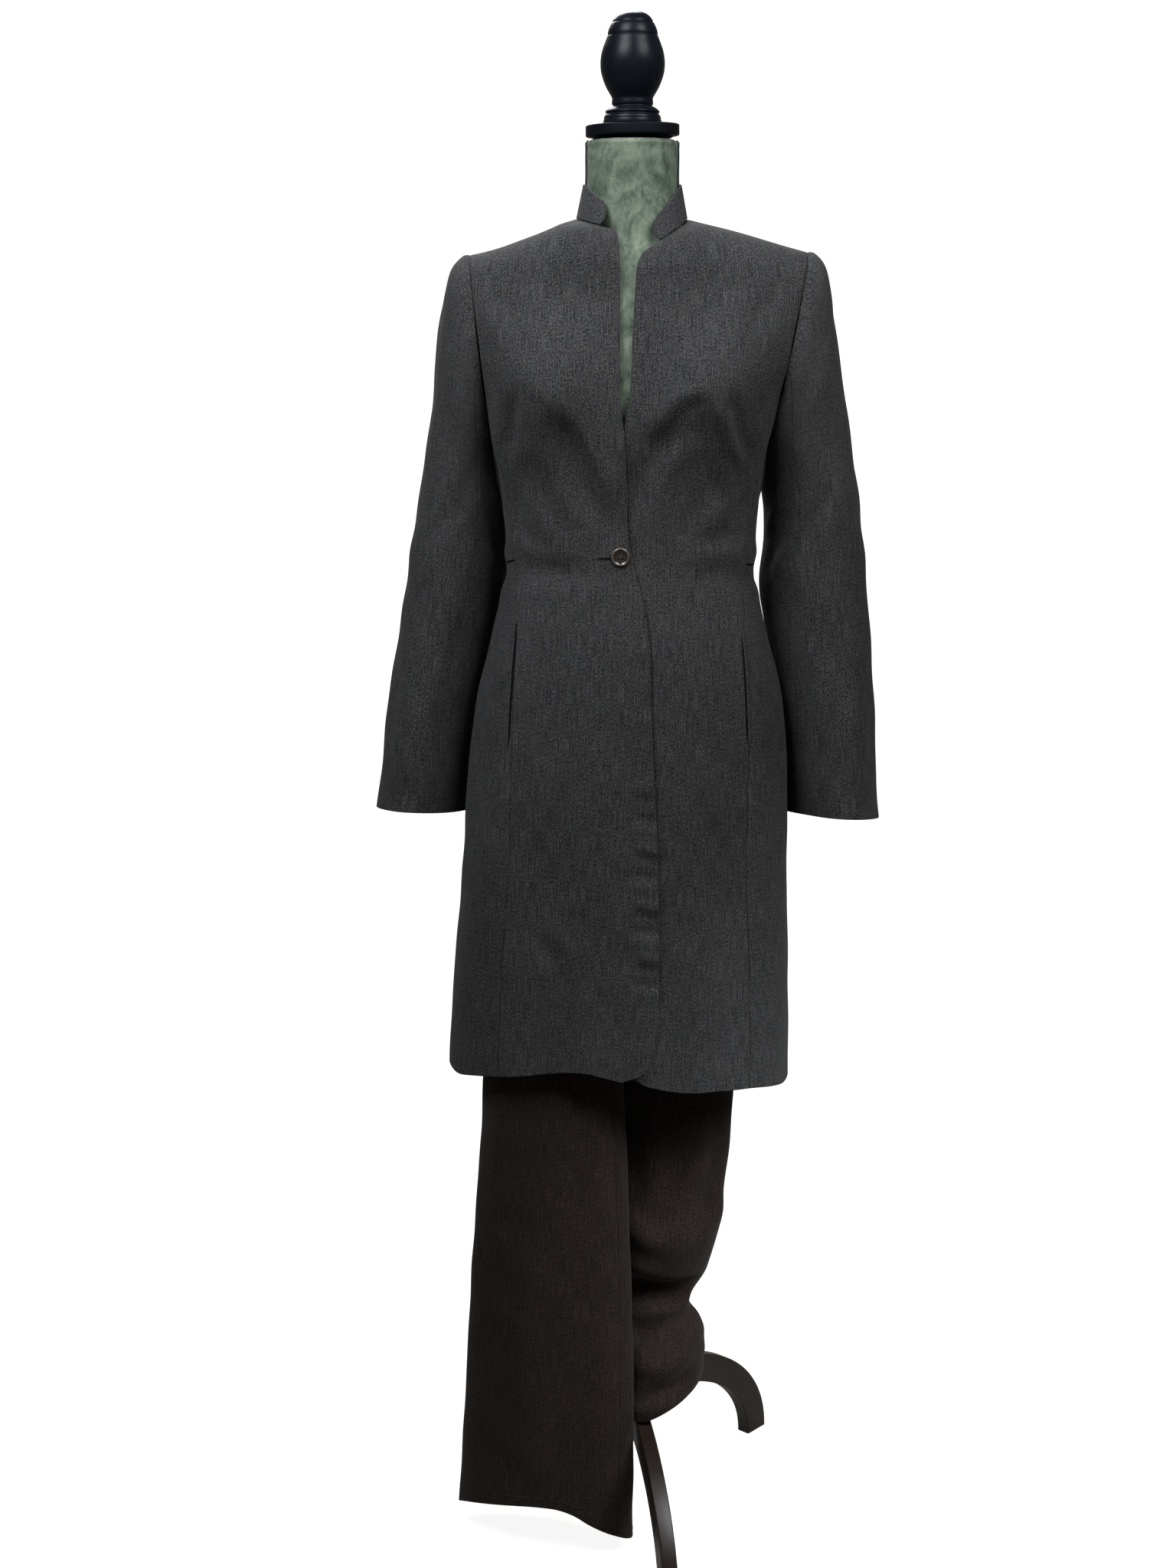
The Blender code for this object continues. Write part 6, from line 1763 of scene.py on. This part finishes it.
def stitch_row(name, points, normals, finish):
    """Capsules in line along a path: three rings each, closed by a point at both ends."""
    walked = running_length(points, 0)
    count = int(walked[-1] / STITCH_PITCH)
    at = (np.arange(count) + 0.5) * walked[-1] / count
    weights, rates = spline_matrices(walked, at)
    centre, ahead, out = weights @ points, rates @ points, weights @ normals
    ahead /= np.linalg.norm(ahead, axis=-1, keepdims=True)
    side = np.cross(ahead, out)
    turn = np.linspace(0, 2 * math.pi, 6, endpoint=False)
    along = np.array((-0.36, 0.0, 0.36)) * STITCH_LENGTH
    swell = np.array((0.75, 1.0, 0.75)) * STITCH_RADIUS
    local = np.stack(np.broadcast_arrays(along[:, None], swell[:, None] * np.cos(turn), swell[:, None] * np.sin(turn)),
                     axis=-1).reshape(-1, 3)
    tips = np.array(((-0.5 * STITCH_LENGTH, 0, 0), (0.5 * STITCH_LENGTH, 0, 0)))
    local = np.concatenate((local, tips))
    axes = np.stack((ahead, side, out), axis=1)
    cloud = centre[:, None] + np.einsum("pk,nkd->npd", local, axes) + out[:, None] * STITCH_RADIUS * 0.6
    ring = np.arange(6)
    tube = grid_faces(3, 6, around=True)
    caps = np.concatenate((np.stack((np.full(6, 18), ring, np.roll(ring, -1)), axis=-1),
                           np.stack((np.full(6, 19), np.roll(ring, -1) + 12, ring + 12), axis=-1)))
    shift = (np.arange(count) * 20)[:, None, None]
    tubes, ends = (tube[None] + shift).reshape(-1, 4), (caps[None] + shift).reshape(-1, 3)
    return make_piece(name, cloud, tubes, finish, None, ends.tolist())


def hem_stitches(panel, name):
    """The row of a panel's points that lies at the stitching's height above the hem."""
    middle = panel["from_hem"].shape[1] // 2
    row = int(np.argmin(np.abs(panel["from_hem"][:, middle] - HEM_STITCH_HEIGHT)))
    stitch_row(name, panel["outer"][row, 6:-6], panel["normal"][row, 6:-6], THREAD)


for half, panel in trousers.items():
    hem_stitches(panel, "hem_stitches_" + half)
FORM_SECTIONS = table(
    "height half_width front back power",
    (1.6205, 0.0450, 0.0450, 0.0450, 2.0),
    (1.6190, 0.0480, 0.0480, 0.0480, 2.0),
    (1.6120, 0.0488, 0.0485, 0.0485, 2.0),
    (1.5800, 0.0490, 0.0485, 0.0490, 2.0),
    (1.5500, 0.0505, 0.0500, 0.0510, 2.0),
    (1.5350, 0.0530, 0.0515, 0.0530, 1.9),
    (1.5200, 0.0640, 0.0530, 0.0560, 1.45),
    (1.5040, 0.1000, 0.0570, 0.0620, 1.45),
    (1.4860, 0.1340, 0.0640, 0.0720, 1.8),
    (1.4600, 0.1530, 0.0750, 0.0820, 2.1),
    (1.4100, 0.1560, 0.0900, 0.0900, 2.3),
    (1.3550, 0.1500, 0.0980, 0.0900, 2.3),
    (1.3050, 0.1420, 0.0970, 0.0860, 2.3),
    (1.2400, 0.1280, 0.0880, 0.0760, 2.3),
    (1.1700, 0.1180, 0.0820, 0.0680, 2.3),
    (1.1000, 0.1280, 0.0900, 0.0790, 2.3),
    (1.0300, 0.1490, 0.0995, 0.0960, 2.3),
    (0.9500, 0.1630, 0.1060, 0.1110, 2.3),
    (0.9000, 0.1630, 0.1030, 0.1090, 2.3),
    (0.8780, 0.1590, 0.0990, 0.1040, 2.3),
)
FORM_CUP_SHARE = 0.72    # the form's bust rises by this share of the jacket's cups


def form_outline(height, angle, ease=0.0):
    """Level outline of the dress form, let out by an ease."""
    read = {name: smooth_at(FORM_SECTIONS["height"], values, np.asarray(height, float))
            for name, values in FORM_SECTIONS.items()}
    x, y = superellipse(angle, read["half_width"] + ease, read["half_width"] + ease,
                        read["front"] + ease, read["back"] + ease, read["power"])
    y = y - np.where(np.cos(angle) > 0, cup_rise(x, np.full(x.shape, height), FORM_CUP_SHARE), 0.0)
    return np.stack((x, y, np.full(x.shape, float(height))), axis=-1)


WAISTBAND_TOP = 1.104
WAISTBAND_EASE = 0.0045  # clear of the form, outside to outside
WAISTBAND_GAP_DEG = 0.4
SEAM_TRIM = 0.00035      # each panel stops this far short of its seam line
WAISTBAND_POINTS = 60


def waistband():
    """Plain band on the form's outline, let out by the ease, with a narrow opening at the front."""
    gap = math.radians(WAISTBAND_GAP_DEG)
    turn = np.linspace(gap, 2 * math.pi - gap, WAISTBAND_POINTS + 1)
    bottom = HIP_HEIGHTS[0] + SEAM_TRIM
    rows = [form_outline(height, turn, WAISTBAND_EASE) for height in np.linspace(WAISTBAND_TOP, bottom, 4)]
    return cloth_panel("trouser_waistband", framed(np.array(rows)), (0.0, 0.0, bottom),
                       ("turned", "turned", "turned", "seam"), (), TROUSER_CLOTH, handled=0.0)


waistband()
print("waistband as cut:", flat_sizes["trouser_waistband"])

# %% [markdown]
# ## The dress form
#
# The form is a padded torso under velvet: sections of its own, a size smaller than the jacket's, with
# a softly rounded shoulder. It is a closed skin of rings. A thin black piping covers the side seams
# of the neck.

# %% Torso and piping
TORSO_STEPS = 112
TORSO_RINGS = 150
PIPING_RADIUS = 0.0016


def closed_rings(name, rings, finish):
    """Closed skin from rings, with a point in the middle of each end."""
    rows, steps = rings.shape[:2]
    points = np.concatenate((rings.reshape(-1, 3), rings[[0, -1]].mean(axis=1)))
    count = rows * steps
    first, last = np.arange(steps), np.arange(steps) + count - steps
    caps = np.concatenate((np.stack((np.full(steps, count), first, np.roll(first, -1)), axis=-1),
                           np.stack((np.full(steps, count + 1), np.roll(last, -1), last), axis=-1)))
    return make_piece(name, points, grid_faces(rows, steps, around=True), finish, None, caps.tolist())


def torso():
    """Rings of the form from the neck's top edge to its base."""
    turn = np.linspace(0, 2 * math.pi, TORSO_STEPS, endpoint=False)
    top, low = FORM_SECTIONS["height"][0], FORM_SECTIONS["height"][-1]
    share = np.linspace(0, 1, TORSO_RINGS)
    heights = top + (low - top) * share ** 1.35
    rings = np.array([form_outline(float(height), turn) for height in heights])
    made = closed_rings("form_torso_velvet", rings, VELVET)
    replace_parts(made, "form_torso")
    return made


def neck_piping(side):
    """Round cord down the side of the neck and out over the shoulder, where the jacket hides it."""
    sign = -1.0 if side == "right" else 1.0
    heights = np.linspace(FORM_SECTIONS["height"][0] - 0.0008, 1.508, 40)
    points = np.array([form_outline(float(height), np.array([sign * math.pi / 2]))[0] for height in heights])
    normals = np.tile((sign, 0.0, 0.15), (40, 1))
    out = normals * PIPING_RADIUS * 0.5
    swept("neck_piping_" + side, points + out, normals, round_section(PIPING_RADIUS, 10), PIPING)


torso()
for side in ("right", "left"):
    neck_piping(side)
print("neck is", round(float(FORM_SECTIONS["half_width"][3]) * 2, 3), "m wide")

# %% [markdown]
# ## Cap, finial, pole and hub
#
# These are turned on a lathe, so each is a profile carried round an axis. The finial is lacquered
# black, with two fine grooves on its crown and a ring at its foot. The cap sits a little crooked on
# the neck. The pole runs up inside the left trouser leg into the form's base board.

# %% Turned pieces
# Turned finial, from its crown to its foot, and the round cap on the neck.
FINIAL = table(
    "radius height",
    (0.0000, 1.7540), (0.0095, 1.7533), (0.0172, 1.7498), (0.0216, 1.7445), (0.0224, 1.7428),
    (0.0247, 1.7385), (0.0266, 1.7335), (0.0274, 1.7290), (0.0296, 1.7230), (0.0326, 1.7150),
    (0.0343, 1.7075), (0.0349, 1.7000), (0.0342, 1.6915), (0.0318, 1.6830), (0.0284, 1.6750), (0.0246, 1.6685),
    (0.0222, 1.6640), (0.0224, 1.6610), (0.0224, 1.6580), (0.0216, 1.6568), (0.0262, 1.6535), (0.0296, 1.6500),
    (0.0288, 1.6480), (0.0304, 1.6455), (0.0316, 1.6400), (0.0316, 1.6378), (0.0000, 1.6378),
)
CAP_RADIUS = 0.051
CAP_TOP = 1.6363
CAP_THICKNESS = 0.0118
CAP_FOOT_RADIUS = 0.0435
CAP_FOOT = 0.0022
CAP_TILT_DEG = 1.1
POLE_RADIUS = 0.0125
HUB_RADIUS = 0.030
HUB_TOP = 0.168
HUB_BOTTOM = 0.085
FINIAL_GROOVES = table("height depth width", (1.7428, 0.0006, 0.0008), (1.7290, 0.0006, 0.0008),
                       (1.6560, 0.0006, 0.0006), (1.6480, 0.0007, 0.0006), (1.6425, 0.0005, 0.0005))
ROUND_STEPS = 96


def finial():
    """Turned knob; each groove is a narrow bell cut into the profile."""
    profile = fine_profile(FINIAL["radius"], FINIAL["height"], 260)
    for height, depth, width in zip(*FINIAL_GROOVES.values()):
        cut = depth * np.exp(-((profile[:, 1] - height) / width) ** 2)
        profile[:, 0] = np.where(profile[:, 0] > 0.008, profile[:, 0] - cut, profile[:, 0])
    profile[0, 0] = profile[-1, 0] = 0.0
    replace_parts(turned_piece("finial_knob", profile, ROUND_STEPS, LACQUER), "finial")


def rounded_profile(corners, radius):
    """Corners (radius, height) of a profile, each replaced by a short arc through two points beside it."""
    points = np.array(corners, dtype=float)
    out = [points[0]]
    for before, here, after in zip(points[:-2], points[1:-1], points[2:]):
        back = (before - here) / np.linalg.norm(before - here)
        ahead = (after - here) / np.linalg.norm(after - here)
        reach = min(radius, np.linalg.norm(before - here) * 0.45, np.linalg.norm(after - here) * 0.45)
        for t in (0.0, 0.25, 0.5, 0.75, 1.0):
            out.append(here + back * reach * (1 - t) ** 2 + ahead * reach * t ** 2)
    out.append(points[-1])
    return np.array(out)


def neck_cap():
    """Round cap with a small foot; the whole is tipped about the front-to-back axis."""
    low = -CAP_THICKNESS
    corners = ((0, 0), (CAP_RADIUS, 0), (CAP_RADIUS, low), (CAP_FOOT_RADIUS, low), (CAP_FOOT_RADIUS, low - CAP_FOOT),
               (0, low - CAP_FOOT))
    tilt = math.radians(-CAP_TILT_DEG)

    def tipped(points):
        x, y, z = points.T
        return np.stack((x * math.cos(tilt) + z * math.sin(tilt), y, z * math.cos(tilt) - x * math.sin(tilt) + CAP_TOP),
                        axis=-1)

    made = turned_piece("neck_cap_disc", rounded_profile(corners, 0.0016), ROUND_STEPS, CAP_BLACK, tipped)
    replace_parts(made, "neck_cap")


def pole():
    """Plain tube from the hub to the form's base, with softened ends."""
    corners = ((0, pole_high.z), (POLE_RADIUS, pole_high.z), (POLE_RADIUS, pole_low.z), (0, pole_low.z))
    made = turned_piece("stand_pole", rounded_profile(corners, 0.0008), 64, BLACK_STEEL)
    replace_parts(made, "pole")


def hub():
    """Turned block that carries the legs, with a rounded shoulder and a small drop."""
    corners = ((0, HUB_TOP), (HUB_RADIUS, HUB_TOP), (HUB_RADIUS, HUB_BOTTOM + 0.030),
               (HUB_RADIUS * 0.8, HUB_BOTTOM + 0.012), (HUB_RADIUS * 0.5, HUB_BOTTOM), (0, HUB_BOTTOM))
    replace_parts(turned_piece("stand_hub", rounded_profile(corners, 0.0045), ROUND_STEPS, WOOD), "hub")


finial()
neck_cap()
pole()
hub()
print("finial:", round(float(np.ptp(FINIAL["height"])), 3), "m tall")

# %% [markdown]
# ## The legs and the base board
#
# Each leg is sawn from a flat board: a quarter ellipse on top and a smaller one below, so it is
# deepest at the hub and ends in a flat foot. The section is a rectangle with softened corners, carried
# between the two curves. The grain runs along the leg.

# %% Legs
LEG_AZIMUTHS_DEG = {"front": -80.0, "rear_left": 48.0, "rear_right": 140.0}
LEG_ROOT = 0.0305        # distance from the pole's axis to a leg's end on the hub
LEG_SPAN = 0.237         # reach of a leg's top edge from its root
LEG_TOP = 0.165          # height of a leg's top edge at the hub
LEG_DEPTH = 0.036        # depth of the board, from its top edge to its lower edge
LEG_THICKNESS = 0.018
LEG_ROWS = 72
LEG_CORNER = 0.0022


def board_section():
    """Rectangle with round corners: columns are the share from lower to upper edge, and across."""
    turn = np.linspace(0, 2 * math.pi, 32, endpoint=False) + math.pi / 32
    half_depth, half_thick = LEG_DEPTH / 2, LEG_THICKNESS / 2
    corner_u, corner_v = np.sign(np.cos(turn)) * (half_depth - LEG_CORNER), np.sign(np.sin(turn)) * (half_thick - LEG_CORNER)
    quarter = np.tile(np.linspace(0, math.pi / 2, 8), 4) + np.repeat(np.arange(4) * math.pi / 2, 8)
    order = np.repeat(((1, 1), (-1, 1), (-1, -1), (1, -1)), 8, axis=0)
    u = order[:, 0] * (half_depth - LEG_CORNER) + LEG_CORNER * np.cos(quarter)
    v = order[:, 1] * (half_thick - LEG_CORNER) + LEG_CORNER * np.sin(quarter)
    return u / LEG_DEPTH + 0.5, v


def stand_leg(which):
    """Board between two quarter ellipses, standing in the upright plane of its azimuth."""
    turn = np.linspace(math.pi / 2, 0.0, LEG_ROWS)
    upper = np.stack((LEG_ROOT + LEG_SPAN * np.cos(turn), LEG_TOP * np.sin(turn)), axis=-1)
    lower = np.stack((LEG_ROOT + (LEG_SPAN - LEG_DEPTH) * np.cos(turn), (LEG_TOP - LEG_DEPTH) * np.sin(turn)), axis=-1)
    share, across = board_section()
    plane = lower[:, None] + (upper - lower)[:, None] * share[None, :, None]
    azimuth = math.radians(LEG_AZIMUTHS_DEG[which])
    ahead, side = np.array((math.cos(azimuth), math.sin(azimuth))), np.array((-math.sin(azimuth), math.cos(azimuth)))
    flat = plane[..., :1] * ahead + across[None, :, None] * side
    points = np.concatenate((flat, plane[..., 1:]), axis=-1)
    walked = running_length(upper, 0)
    uv = np.stack(np.broadcast_arrays(walked[:, None], share[None] * LEG_DEPTH + np.abs(across)[None] * 0.7), axis=-1)
    count = len(share)
    ends = (range(count), range(LEG_ROWS * count - 1, (LEG_ROWS - 1) * count - 1, -1))
    made = make_piece("leg_" + which, points, grid_faces(LEG_ROWS, count, around=True), WOOD, uv, ends)
    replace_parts(made, "stand_leg_" + which)
    return made


for which in LEG_AZIMUTHS_DEG:
    stand_leg(which)
print("legs reach", LEG_ROOT + LEG_SPAN, "m from the pole")

# %% [markdown]
# The base board closes the form's lower end. It is hidden inside the trousers, so it is a plain board
# on the form's outline with softened edges.

# %% Base board
FORM_BASE_THICKNESS = 0.009
FORM_BASE_INSET = 0.012
CONTACT_GAP = 0.0003     # touching pieces keep this gap


def base_board():
    """Rings on the form's lowest outline: inset, full width for the edge, and inset again."""
    low = float(FORM_SECTIONS["height"][-1]) - CONTACT_GAP
    turn = np.linspace(0, 2 * math.pi, TORSO_STEPS, endpoint=False)
    edge = form_outline(low + CONTACT_GAP, turn, -FORM_BASE_INSET)
    rings = []
    for inset, drop in ((0.002, 0.0), (0.0005, 0.0005), (0.0, 0.002), (0.0, FORM_BASE_THICKNESS - 0.002),
                        (0.0005, FORM_BASE_THICKNESS - 0.0005), (0.002, FORM_BASE_THICKNESS)):
        ring = edge * np.array((1 - inset / 0.14, 1 - inset / 0.10, 1.0))
        ring[:, 2] = low - drop
        rings.append(ring)
    rings = np.array(rings)
    made = closed_rings("base_board", rings, WOOD)
    layer = made.data.uv_layers.new(name="cut")
    corner = np.empty(len(made.data.loops), dtype=np.int64)
    made.data.loops.foreach_get("vertex_index", corner)
    place = np.array([v.co[:2] for v in made.data.vertices])
    layer.data.foreach_set("uv", place[corner].ravel().astype(np.float32))
    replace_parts(made, "form_base_board")


base_board()
print("base board is", FORM_BASE_THICKNESS * 1000, "mm thick")
